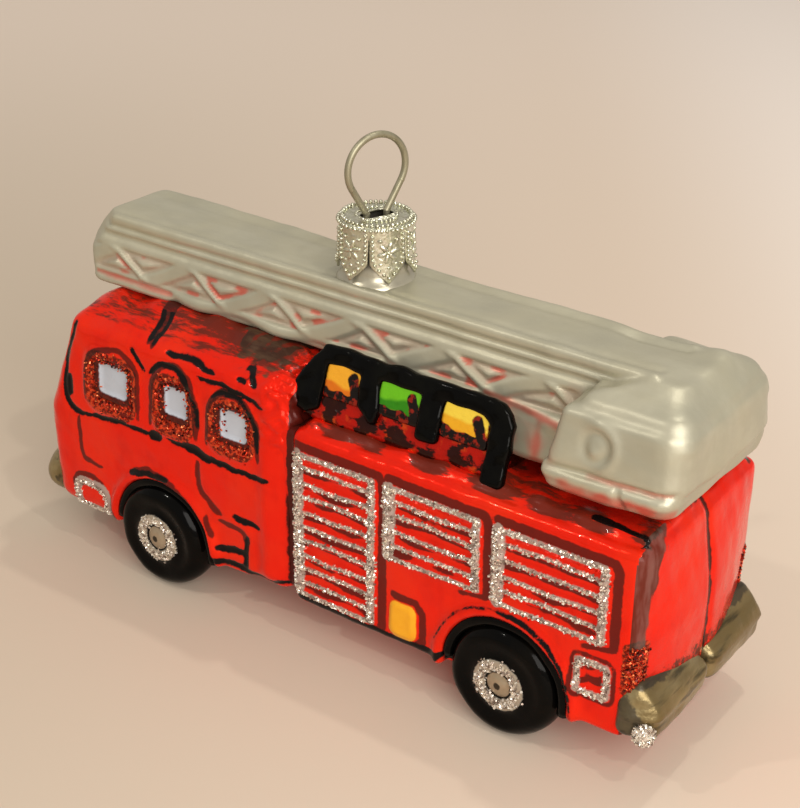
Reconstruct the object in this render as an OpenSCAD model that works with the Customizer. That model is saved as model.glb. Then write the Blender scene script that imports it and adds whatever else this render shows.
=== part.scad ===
// Tree ornament: a fire engine blown in one piece of glass, with a stamped
// metal crown cap and a sprung wire loop. The cab faces -X, the left side -Y.
// The neck's axis is the Z axis, and the wheels stand on Z = 0.

/* [Glass body] */
// Length of the blown body, from the cab's face to the tail
body_length = 103.6; // [86:0.1:125]
// Width of the body over its sides
body_width = 32.2; // [28:0.1:40]
// Height of the body's underside above the wheels' feet
floor_height = 7.2; // [5:0.1:9]
// Height of the rear deck's edge
deck_height = 35.8; // [33:0.1:40]
// Height of the cab's roof
roof_height = 43.5; // [40:0.5:47]
// Length of the cab, from its face to the seam behind it
cab_length = 48.5; // [40:0.1:54]
// Thickness of the blown glass
glass_wall = 1; // [0.6:0.1:1.2]

/* [Ladder and basket] */
// Height of the ladder's flat top
ladder_top = 52.8; // [50:0.1:60]
// Width of the ladder over its rails
ladder_width = 11; // [10.4:0.1:14]
// How far the ladder's tip stays behind the cab's face
ladder_setback = 1.5; // [0.5:0.1:8]
// Length of the rescue basket
basket_length = 19.4; // [15:0.1:26]
// Width of the rescue basket
basket_width = 27; // [22:0.5:30]
// Number of bays in the zigzag along each side of the ladder
truss_bays = 5; // [3:1:8]

/* [Wheels and bumpers] */
// Radius of the wheels
wheel_radius = 8.4; // [7:0.1:10]
// How far the wheels stand proud of the sides
wheel_proud = 0.9; // [0.5:0.1:2]
// Depth of a wheel bulge, from its face inwards
wheel_depth = 7; // [5:0.5:9]
// Distance of the front axle behind the cab's face
front_axle = 23.8; // [20:0.1:32]
// Distance of the rear axle ahead of the tail
rear_axle = 19; // [15:0.1:24]
// How far each bumper stands out past the body
bumper_proud = 3.7; // [2.5:0.1:5]
// Height of a bumper's roll
bumper_height = 7.2; // [5:0.1:8]

/* [Neck, cap and hanger] */
// Outside diameter of the glass neck
neck_diameter = 9; // [8:0.1:11]
// Height of the neck above the ladder's top
neck_height = 8.4; // [7:0.1:12]
// Thickness of the cap's sheet metal
cap_sheet = 0.35; // [0.25:0.05:0.5]
// Number of pointed tabs around the cap
cap_tabs = 6; // [4:1:8]
// Running gap between the cap and the neck
cap_gap = 0.3; // [0.2:0.05:0.5]
// Diameter of the hanger's wire
wire_diameter = 0.95; // [0.7:0.05:1.05]
// Outside width of the wire loop
loop_width = 10.1; // [9:0.1:12]
// Height of the wire loop above the cap
loop_height = 11.4; // [10.2:0.1:14]
// How far the hanger can be drawn up out of the cap
hanger_lift = 2; // [1:0.1:2.4]
// Turn of the loop from the body's length, in degrees
hanger_turn = 70; // [0:5:180]

/* [Hidden] */
ball_fn = 16;
cavity_fn = 10;
hollow_fn = 12;
wheel_fn = 24;
neck_fn = 30;
round_fn = 48;
bar_fn = 5;

half_length = body_length / 2;
half_width = body_width / 2;
seam_x = cab_length - half_length;
seam_gap = 0.4;
deck_start = seam_x + seam_gap;
front_axle_x = front_axle - half_length;
rear_axle_x = half_length - rear_axle;
basket_start = half_length + 2 - basket_length;
ladder_start = ladder_setback - half_length;
ladder_end = half_length - 4;
ladder_bottom = roof_height - 0.5;
wheel_face = half_width + wheel_proud;
arch_radius = wheel_radius + 1.9;

neck_top = ladder_top + neck_height;
neck_bore = neck_diameter / 2 - glass_wall;
cap_bore = neck_diameter / 2 + cap_gap;
cap_top = neck_top + cap_gap + cap_sheet;
cap_radius = cap_bore + cap_sheet;
cap_foot = ladder_top + 1;
cap_band = 4.6;

wire_radius = wire_diameter / 2;
slot_gap = 0.4;
pinch = 1.6;
slot_length = 2 * (pinch + wire_radius + slot_gap);
slot_width = 2.4;
loop_radius = (loop_width - wire_diameter) / 2;
loop_centre = cap_top + loop_height - loop_radius - wire_radius;
leg_end = ladder_top - 6 - hanger_lift;
leg_spread = neck_bore - wire_radius - 0.6;

// Every corner ball keeps its centre when the wall is taken off, so the
// cavity follows the outside at an even distance.
// A ring is [height of its balls' centres, first x, last x, half width].
module pillow(rings, r, inset = 0) {
    hull()
        for (ring = rings, x = [ring[1] + r, ring[2] - r], side = [-1, 1])
            translate([x, side * (ring[3] - r), ring[0]])
                sphere(r - inset, $fn = inset > 0 ? cavity_fn : ball_fn);
}

module both_sides() {
    children();
    mirror([0, 1, 0]) children();
}

// Rear body: the equipment box behind the cab, from the seam to the tail.
module rear_box(inset = 0) {
    r = 2.6;
    pillow([
        [floor_height + r, deck_start, half_length - 1, half_width],
        [deck_height - r, deck_start, half_length - 0.5, half_width - 0.6],
        [deck_height + 0.6 - r, deck_start + 1, half_length - 1, half_width - 3.6]
    ], r, inset);
}

// Cab: full and round, its face leaning back to a crowned roof.
module cab_shell(inset = 0) {
    r = 4.2;
    belt = floor_height + 0.44 * (roof_height - floor_height);
    face = -half_length;
    pillow([
        [floor_height + r, face + 0.6, seam_x, half_width],
        [belt, face, seam_x, half_width + 0.1],
        [roof_height - 2.6 - r, face + 4.6, seam_x, half_width - 1.2],
        [roof_height - r, face + 7, seam_x - 1.5, half_width - 7]
    ], r, inset);
}

// Joint block: carries the glass across the seam between cab and box.
module seam_core(inset = 0) {
    r = 2;
    w = half_width - 1.1;
    pillow([
        [floor_height + 1 + r, seam_x - 6, deck_start + 6, w],
        [deck_height - 1.5 - r, seam_x - 6, deck_start + 6, w]
    ], r, inset);
}

// Ladder: a long flat-topped bar that narrows a little towards its top.
module ladder_bar(inset = 0) {
    r = 1.6;
    w = ladder_width / 2;
    pillow([
        [ladder_bottom - 1 + r, ladder_start + 4.5, ladder_end, w + 0.9],
        [ladder_bottom + 3.2, ladder_start, ladder_end, w + 0.7],
        [ladder_top - r, ladder_start + 1.2, ladder_end, w]
    ], r, inset);
}

// Web: fills the ladder's side down to the rear deck.
module ladder_web(inset = 0) {
    r = 1.6;
    pillow([
        [deck_height - 3, seam_x - 4, half_length - 3, ladder_width / 2 + 2],
        [ladder_bottom + 1, seam_x - 4, half_length - 3, ladder_width / 2 + 0.6]
    ], r, inset);
}

// Rescue basket: the broad round-cornered box at the ladder's root.
module basket(inset = 0) {
    r = 3.4;
    end = half_length + 2.6;
    w = basket_width / 2;
    top = ladder_top - 2.2;
    pillow([
        [deck_height + 3.6 + r, basket_start, end - 1.2, w],
        [top - r, basket_start + 2, end, w - 1.2],
        [ladder_top - 0.3 - r, basket_start + 6, end - 1.5, w - 5]
    ], r, inset);
}

// Turntable: the low drum between the basket and the deck.
module turntable() {
    r = 1.4;
    pillow([
        [deck_height - 2, basket_start + 0.8, half_length - 1, basket_width / 2 - 0.6],
        [deck_height + 2.8, basket_start + 0.8, half_length + 0.6, basket_width / 2 - 0.6]
    ], r);
}

// Boss: the round drum of the basket's side, a ring with a button.
module basket_boss() {
    translate([basket_start + 9.2, -basket_width / 2 + 1.2, deck_height + 9.4])
        rotate([90 - 10, 0, 0])
            rotate_extrude($fn = 18)
                polygon([[0, -1], [3, -1], [3, 0.5], [2.5, 0.9], [1.9, 0.5], [1.6, 0.1], [0.9, 0.1], [0.6, 0.6], [0, 0.7]]);
}

// Wheel: a domed disc with a raised tyre, a rim ring and a hub boss.
module wheel(x, inset = 0) {
    face = wheel_face - inset;
    r = wheel_radius - inset;
    back = wheel_face - wheel_depth + (inset > 0 ? -2 : 0);
    translate([x, 0, wheel_radius])
        rotate([90, 0, 0])
            rotate_extrude($fn = inset > 0 ? hollow_fn : wheel_fn)
                polygon(inset > 0
                    ? [[0, back], [r, back], [r, face - 1.6], [r - 1, face - 0.6], [0, face - 0.6]]
                    : concat(
                        [[0, back], [r - 0.6, back], [r, back + 1]],
                        [for (a = [0:30:90]) [r - 1.6 + 1.6 * cos(a), face - 1.6 + 1.6 * sin(a)]],
                        [[r * 0.52, face], [r * 0.46, face - 0.7], [r * 0.3, face - 0.5],
                         [r * 0.24, face + 0.1], [0, face + 0.3]]));
}

// Arch: the raised lip around a wheel.
module arch(x) {
    lip = 0.75;
    translate([x, -half_width + 0.25, wheel_radius])
        rotate([90, 0, 0])
            rotate([0, 0, 4])
                rotate_extrude(angle = 172, $fn = 24)
                    translate([arch_radius, 0])
                        circle(lip, $fn = 4);
}

// A bar of the moulded relief, from one point to another.
module bar(from, to, r) {
    span = to - from;
    length = norm(span);
    translate(from)
        rotate([0, acos(span[2] / length), atan2(span[1], span[0])])
            cylinder(length, r, r, $fn = bar_fn);
}

// Ladder relief: two chords and a zigzag of bars on each side.
module truss() {
    w = ladder_width / 2;
    x0 = ladder_start + 6.4;
    x1 = basket_start - 2.3;
    low = [ladder_bottom + 1, -w - 0.75];
    high = [ladder_top - 3.6, -w - 0.5];
    pitch = (x1 - x0) / truss_bays;
    foot = 0.43 * pitch;
    bar([x0, high[1], high[0]], [basket_start + 2, high[1], high[0]], 0.7);
    bar([x0, low[1], low[0]], [basket_start + 2, low[1], low[0]], 0.75);
    for (i = [0:truss_bays - 1]) {
        a = x0 + i * pitch;
        bar([a, high[1], high[0]], [a + foot, low[1], low[0]], 0.45);
        bar([a + foot, low[1], low[0]], [a + pitch, high[1], high[0]], 0.6);
    }
}

// Rails: the round edges of the ladder's top.
module rail() {
    w = ladder_width / 2;
    bar([ladder_start + 6.6, 0.8 - w, ladder_top - 0.6], [ladder_end - 1.2, 0.8 - w, ladder_top - 0.6], 0.9);
}

// A raised frame on the left side, with round corners.
module side_frame(x0, x1, z0, z1, rim, proud, face = half_width) {
    corner = rim * 0.9;
    translate([0, 0.4 - face, 0])
        rotate([90, 0, 0])
            linear_extrude(proud + 0.4)
                difference() {
                    translate([x0 + corner, z0 + corner])
                        offset(corner, $fn = 12)
                            square([x1 - x0 - 2 * corner, z1 - z0 - 2 * corner]);
                    translate([x0 + rim, z0 + rim])
                        square([x1 - x0 - 2 * rim, z1 - z0 - 2 * rim]);
                }
}

// Shutters: three bays share the box's side, each with its row of slats.
shutter_first = deck_start + 0.4;
shutter_run = half_length - 4.4 - shutter_first;
shutter_top = deck_height - 4.2;
shutter_share = [[0, 0.284, 0], [0.32, 0.62, 1], [0.668, 1, 1]];
shutter_low = [floor_height + 2.3, deck_height - 15.7];
slat_pitch = 2.35;

module shutters() {
    for (bay = shutter_share) {
        x0 = shutter_first + bay[0] * shutter_run;
        x1 = shutter_first + bay[1] * shutter_run;
        z0 = shutter_low[bay[2]];
        slats = floor((shutter_top - z0) / slat_pitch) - 1;
        step = (shutter_top - z0) / (slats + 1);
        side_frame(x0, x1, z0, shutter_top, 0.9, 0.45);
        for (i = [1:slats])
            bar([x0 + 0.6, -half_width - 0.05, z0 + i * step],
                [x1 - 0.6, -half_width - 0.05, z0 + i * step], 0.42);
    }
}

// Windows: three along each side of the cab and two in its face.
window_height = 10;
window_low = roof_height - 17;
window_first = 9;
window_pitch = (cab_length - window_first - 3.2) / 3;
window_width = window_pitch - 0.9;

module windows() {
    for (i = [0:2]) {
        x0 = window_first + i * window_pitch - half_length;
        side_frame(x0, x0 + window_width, window_low, window_low + window_height, 2.8, 0.3, half_width - 0.2);
    }
}

module windscreen() {
    lean = 9.5;
    for (side = [-1, 1])
        translate([2.9 - half_length, side * 6.2, window_low + window_height / 2])
            rotate([0, lean, 0])
                rotate([90, 0, -90])
                    linear_extrude(0.9)
                        difference() {
                            square([10.6, window_height], center = true);
                            square([7, window_height - 3.6], center = true);
                        }
}

// Lamps: a marker frame by the tail, a headlamp frame by the face, and the
// small plate under the shutters.
plate_start = seam_x + 17.4;

module side_lamps() {
    side_frame(half_length - 8.4, half_length - 3.2, 12, 17.6, 0.9, 0.4);
    side_frame(4 - half_length, 11 - half_length, floor_height + 0.8, floor_height + 6.4, 0.9, 0.3);
    side_frame(plate_start, plate_start + 4.9, floor_height + 1.2, floor_height + 6.8, 2.2, 0.3);
}

// Bumper: two rolls that meet in the middle, or one that wraps the corners.
module rear_bumper() {
    r = bumper_height / 2;
    x = half_length + bumper_proud - r;
    both_sides()
        hull()
            for (y = [0.3 + r * 0.4, half_width - 0.5 - r])
                translate([x, -y, floor_height + 0.9 + r])
                    sphere(r, $fn = ball_fn);
}

module front_bumper() {
    r = bumper_height / 2;
    x = r - half_length - bumper_proud;
    z = floor_height - 0.4 + r;
    hull()
        for (side = [-1, 1], p = [[x, half_width - 6.5], [x + 6.4, half_width - r + 0.9]])
            translate([p[0], side * p[1], z])
                sphere(r, $fn = ball_fn);
}

// Equipment rack: a leaning block on the deck with a raised frame round three
// bulges, the gear stowed in it.
rack_start = deck_start + 0.6;
rack_end = basket_start - 4.8;
rack_foot = [-half_width + 3.4, deck_height - 0.4];
rack_head = [-ladder_width / 2 - 3.2, ladder_bottom + 0.8];

module rack_block(inset = 0) {
    r = 1.2;
    pillow([
        [rack_foot[1] - 1, rack_start, rack_end, -rack_foot[0]],
        [rack_head[1] - r, rack_start + 0.6, rack_end - 0.6, -rack_head[0]]
    ], r, inset);
}

module rack_frame() {
    posts = 4;
    thick = 0.9;
    low = [rack_foot[0] + 1.1, rack_foot[1] + 2];
    first = rack_start + thick;
    pitch = (rack_end - rack_start - 2 * thick) / (posts - 1);
    for (i = [0:posts - 1])
        bar([first + i * pitch, rack_foot[0] + 0.3, rack_foot[1]],
            [first + i * pitch, rack_head[0], rack_head[1] - 0.8], thick);
    bar([first, rack_head[0], rack_head[1] - 0.8], [rack_end - thick, rack_head[0], rack_head[1] - 0.8], thick);
    bar([first, low[0], low[1]], [rack_end - thick, low[0], low[1]], thick);
    for (i = [0:posts - 2])
        translate([first + (i + 0.5) * pitch, rack_head[0] - 0.3, rack_head[1] - 3.6])
            scale([1, 0.6, 0.8])
                sphere(3, $fn = 9);
}

// Neck: the blown stub that flares out of the ladder's top.
module neck() {
    r = neck_diameter / 2;
    flare = 1;
    rotate_extrude($fn = neck_fn)
        polygon(concat(
            [[0, ladder_top - 2], [r + flare, ladder_top - 2], [r + flare, ladder_top - 0.2]],
            [for (a = [0:30:90]) [r + flare - flare * sin(a), ladder_top - 0.2 + flare * (1 - cos(a))]],
            [[r, neck_top - 0.4], [r - 0.4, neck_top], [0, neck_top]]));
}

module cavity() {
    rear_box(glass_wall);
    cab_shell(glass_wall);
    seam_core(glass_wall);
    ladder_bar(glass_wall);
    ladder_web(glass_wall);
    basket(glass_wall);
    rack_block(glass_wall);
    both_sides() {
        wheel(front_axle_x, glass_wall);
        wheel(rear_axle_x, glass_wall);
    }
    translate([0, 0, ladder_top - 6])
        cylinder(neck_height + 8, neck_bore, neck_bore, $fn = neck_fn);
}

// Glass body: everything that is blown in the one mould.
module glass_body() {
    color([0.86, 0.09, 0.05])
        difference() {
            union() {
                rear_box();
                cab_shell();
                seam_core();
                ladder_bar();
                ladder_web();
                basket();
                turntable();
                rack_block();
                windscreen();
                rear_bumper();
                front_bumper();
                neck();
                both_sides() {
                    wheel(front_axle_x);
                    wheel(rear_axle_x);
                    arch(front_axle_x);
                    arch(rear_axle_x);
                    truss();
                    rail();
                    shutters();
                    windows();
                    side_lamps();
                    rack_frame();
                    basket_boss();
                }
            }
            cavity();
        }
}

// Cap: a drawn cup over the neck, slit into pointed tabs that stand off the
// ladder, with a slot in its crown for the wire.
module cap() {
    tip = 1.5;
    color([0.78, 0.76, 0.7])
        difference() {
            rotate_extrude($fn = round_fn)
                polygon([
                    [0, cap_top - cap_sheet], [cap_bore, cap_top - cap_sheet],
                    [cap_bore, cap_foot + cap_band], [cap_bore + 0.35, cap_foot],
                    [cap_radius + 0.35, cap_foot], [cap_radius, cap_foot + cap_band],
                    [cap_radius, cap_top - 0.9], [cap_radius - 0.26, cap_top - 0.26],
                    [cap_radius - 0.9, cap_top], [0, cap_top]
                ]);
            rotate([0, 0, hanger_turn])
                cap_slot();
            for (i = [0:cap_tabs - 1])
                rotate([0, 0, hanger_turn + (i + 0.5) * 360 / cap_tabs])
                    translate([0, 0, cap_foot - 0.01])
                        rotate([90, 0, 90])
                            linear_extrude(cap_radius + 2)
                                polygon([
                                    [-tab_half_gap(), -1], [-tab_half_gap(), 0], [-0.2, tip],
                                    [-0.2, cap_band], [0.2, cap_band], [0.2, tip],
                                    [tab_half_gap(), 0], [tab_half_gap(), -1]
                                ]);
        }
}

// Half the open width between two tab points at the cap's foot.
function tab_half_gap() = PI * cap_radius / cap_tabs * 0.62;

module cap_slot() {
    reach = slot_length / 2 - slot_width / 2;
    translate([0, 0, cap_top - 2])
        union() {
            translate([-reach, -slot_width / 2, 0])
                cube([2 * reach, slot_width, 4]);
            for (side = [-1, 1])
                translate([side * reach, 0, 0])
                    cylinder(4, slot_width / 2, slot_width / 2, $fn = round_fn);
        }
}

// Hanger: one spring wire, a round loop pinched at the cap, with two legs
// that spread inside the neck.
leg_foot = cap_top + 0.1;
foot_drop = loop_centre - leg_foot;
foot_reach = sqrt(pinch * pinch + foot_drop * foot_drop);
touch_angle = acos(loop_radius / foot_reach) + atan2(pinch, foot_drop);

module wire_run(from, to) {
    span = to - from;
    length = norm(span);
    translate(from)
        rotate([0, acos(span[2] / length), atan2(span[1], span[0])])
            cylinder(length, wire_radius, wire_radius, $fn = round_fn);
}

module hanger_wire() {
    touch = [loop_radius * sin(touch_angle), 0, loop_centre - loop_radius * cos(touch_angle)];
    color([0.62, 0.61, 0.52])
        rotate([0, 0, hanger_turn]) {
            translate([0, 0, loop_centre])
                rotate([90, 0, 0])
                    rotate([0, 0, touch_angle - 90])
                        rotate_extrude(angle = 360 - 2 * touch_angle, $fn = 96)
                            translate([loop_radius, 0])
                                circle(wire_radius, $fn = round_fn);
            for (side = [0, 1])
                mirror([side, 0, 0]) {
                    wire_run([pinch, 0, leg_foot], touch);
                    wire_run([leg_spread, 0, leg_end], [pinch, 0, leg_foot]);
                    for (p = [touch, [pinch, 0, leg_foot]])
                        translate(p)
                            sphere(wire_radius + 0.02, $fn = round_fn);
                }
        }
}

glass_body();
cap();
hanger_wire();
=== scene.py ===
import math
import random

import bmesh
import bpy
import numpy as np
from mathutils import Matrix, Vector
from mathutils.bvhtree import BVHTree


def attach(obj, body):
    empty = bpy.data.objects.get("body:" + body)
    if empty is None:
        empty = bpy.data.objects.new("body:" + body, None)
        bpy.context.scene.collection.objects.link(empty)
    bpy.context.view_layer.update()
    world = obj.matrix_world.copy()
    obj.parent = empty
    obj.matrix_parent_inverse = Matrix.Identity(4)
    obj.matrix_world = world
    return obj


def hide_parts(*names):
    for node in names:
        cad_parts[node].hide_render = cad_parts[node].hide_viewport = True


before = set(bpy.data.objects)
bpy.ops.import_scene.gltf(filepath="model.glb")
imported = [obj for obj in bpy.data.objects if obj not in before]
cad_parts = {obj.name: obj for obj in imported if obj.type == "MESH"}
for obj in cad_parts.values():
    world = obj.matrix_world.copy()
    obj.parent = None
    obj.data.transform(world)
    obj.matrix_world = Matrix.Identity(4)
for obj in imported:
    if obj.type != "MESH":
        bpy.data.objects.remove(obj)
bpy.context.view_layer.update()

# Cab: the front half of the glass bubble, blown into a mould cut as a full
# round cab with three windows a side. Sizes are in millimetres, as a mould
# maker would give them, and each surface point is moved out or in for relief.
MM = 0.001
HALF_WIDTH = 16.1
BODY_FOOT = 7.2
CAB_FACE = -51.8
SEAM = -3.3
ROOF = 43.5
WHEEL_RADIUS = 8.4
FRONT_AXLE = -27.4
ARCH_LINER, ARCH_EDGE = 9.6, 9.9
UNPAINTED = -9


def ramp(value, low, high):
    """0 at low, 1 at high, and a smooth step between them."""
    share = np.clip((value - low) / (high - low), 0, 1)
    return share * share * (3 - 2 * share)


def swell(distance, width):
    """1 where the distance is 0, falling away on both sides over the width."""
    return np.exp(-((distance / width) ** 2))


def any_way(draw):
    return Vector((draw.gauss(0, 1), draw.gauss(0, 1), draw.gauss(0, 1))).normalized()


def waves(spots, length, seed):
    """A smooth random swell over a surface, from about -1 to 1."""
    draw = random.Random(seed)
    total = np.zeros(len(spots))
    for turn in range(9):
        way = any_way(draw)
        pitch = length * draw.uniform(0.7, 1.5)
        total += np.sin(spots @ np.array(way) * (2 * math.pi / pitch) + draw.uniform(0, 6.28))
    return total / 4


def nearest(u, v, start, end):
    """How far along a straight line the nearest point is, from 0 to 1, and how far off."""
    (a, b), (c, d) = start, end
    share = ((u - a) * (c - a) + (v - b) * (d - b)) / ((c - a) ** 2 + (d - b) ** 2)
    share = np.clip(share, 0, 1)
    return share, np.hypot(u - a - share * (c - a), v - b - share * (d - b))


def line_distance(u, v, path):
    """Distance from a path of straight lines."""
    return np.min([nearest(u, v, *ends)[1] for ends in zip(path, path[1:])], axis=0)


def strips(u, v, lines):
    """How far inside the nearest strip of even width a point is; lines are (half width, path)."""
    return np.max([half - line_distance(u, v, path) for half, path in lines], axis=0)


def frame_distance(u, v, sides, corner):
    """Distance outside a round-cornered rectangle; negative inside it."""
    u0, u1, v0, v1 = sides
    du = np.abs(u - (u0 + u1) / 2) - ((u1 - u0) / 2 - corner)
    dv = np.abs(v - (v0 + v1) / 2) - ((v1 - v0) / 2 - corner)
    outside = np.hypot(np.maximum(du, 0), np.maximum(dv, 0))
    return outside + np.minimum(np.maximum(du, dv), 0) - corner


def verts_of(geometry):
    return [part for part in geometry if isinstance(part, bmesh.types.BMVert)]


def hull_of(bm, balls):
    """A round-edged block: the hull of balls, each (x, y, z, radius)."""
    cloud = bmesh.new()
    for x, y, z, radius in balls:
        at = Matrix.Translation(Vector((x, y, z)) * MM)
        bmesh.ops.create_icosphere(cloud, subdivisions=3, radius=radius * MM, matrix=at)
    bmesh.ops.delete(cloud, geom=cloud.edges[:], context="EDGES_FACES")
    hull = bmesh.ops.convex_hull(cloud, input=cloud.verts[:])
    bmesh.ops.delete(cloud, geom=list(set(verts_of(hull["geom_interior"]))), context="VERTS")
    add_to(bm, cloud)


def pillow(bm, rings, edge, nose=None, tail=None):
    """A block rounded along its edges, and round its upright corners by nose and tail.

    Each ring is (height, front end, rear end, half width)."""
    balls = []
    for height, first, last, half in rings:
        for end, way, corner in ((first, -1, nose or edge), (last, 1, tail or edge)):
            reach = corner - edge
            for side in (-1, 1):
                for turn in ([0] if reach == 0 else [0, 0.4, 0.8, 1.2, math.pi / 2]):
                    balls.append((end + way * (reach * math.cos(turn) - corner),
                                  side * (half - corner + reach * math.sin(turn)), height, edge))
    hull_of(bm, balls)


def add_to(bm, part):
    """Puts a part's mesh into another, and drops the part."""
    mesh = bpy.data.meshes.new("part")
    part.to_mesh(mesh)
    part.free()
    bm.from_mesh(mesh)
    bpy.data.meshes.remove(mesh)


def shown(name, bm, smooth=True):
    mesh = bpy.data.meshes.new(name)
    bm.to_mesh(mesh)
    bm.free()
    mesh.polygons.foreach_set("use_smooth", [smooth] * len(mesh.polygons))
    piece = bpy.data.objects.new(name, mesh)
    bpy.context.scene.collection.objects.link(piece)
    return piece


def blown(name, bm, grain, softening):
    """One closed skin round overlapping blocks, softened as hot glass is."""
    piece = shown(name, bm)
    wrap = piece.modifiers.new("wrap", "REMESH")
    wrap.mode = "VOXEL"
    wrap.voxel_size = grain * MM
    soften = piece.modifiers.new("soften", "SMOOTH")
    soften.factor = 0.5
    soften.iterations = softening
    ready = piece.evaluated_get(bpy.context.evaluated_depsgraph_get())
    blocks, piece.data = piece.data, bpy.data.meshes.new_from_object(ready)
    piece.modifiers.clear()
    bpy.data.meshes.remove(blocks)
    piece.data.polygons.foreach_set("use_smooth", [True] * len(piece.data.polygons))
    return piece


def surface(piece):
    """The place and the outward direction of every point, places in millimetres."""
    count = len(piece.data.vertices)
    spots, out = np.empty(count * 3), np.empty(count * 3)
    piece.data.vertices.foreach_get("co", spots)
    piece.data.vertex_normals.foreach_get("vector", out)
    return spots.reshape(-1, 3) / MM, out.reshape(-1, 3)


def settle(piece, spots):
    piece.data.vertices.foreach_set("co", (spots * MM).ravel())
    piece.data.update()


def only(here, depth):
    """A painted mark's depth, kept to one part of the surface."""
    return np.where(here, depth, UNPAINTED)


def marks(piece, **depths):
    """Painted marks; each gives how far inside its edge a point is."""
    for name, depth in depths.items():
        layer = piece.data.attributes.new(name, "FLOAT", "POINT")
        layer.data.foreach_set("value", np.asarray(depth, np.float32))


def strokes(u, v, lines):
    """How far inside the nearest brush stroke a point is; lines are (half width, path).

    The hand rounds each corner, and presses less at both ends."""
    best = np.full(u.shape, float(UNPAINTED))
    for half, path in lines:
        for cut in range(2):
            inner = [(a + share * (c - a), b + share * (d - b))
                     for (a, b), (c, d) in zip(path, path[1:]) for share in (0.25, 0.75)]
            path = [path[0], *inner, path[-1]]
        for place, ends in enumerate(zip(path, path[1:])):
            share, off = nearest(u, v, *ends)
            press = half * (1.05 - 0.6 * (2 * (place + share) / (len(path) - 1) - 1) ** 4)
            best = np.maximum(best, press - off)
    return best


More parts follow.
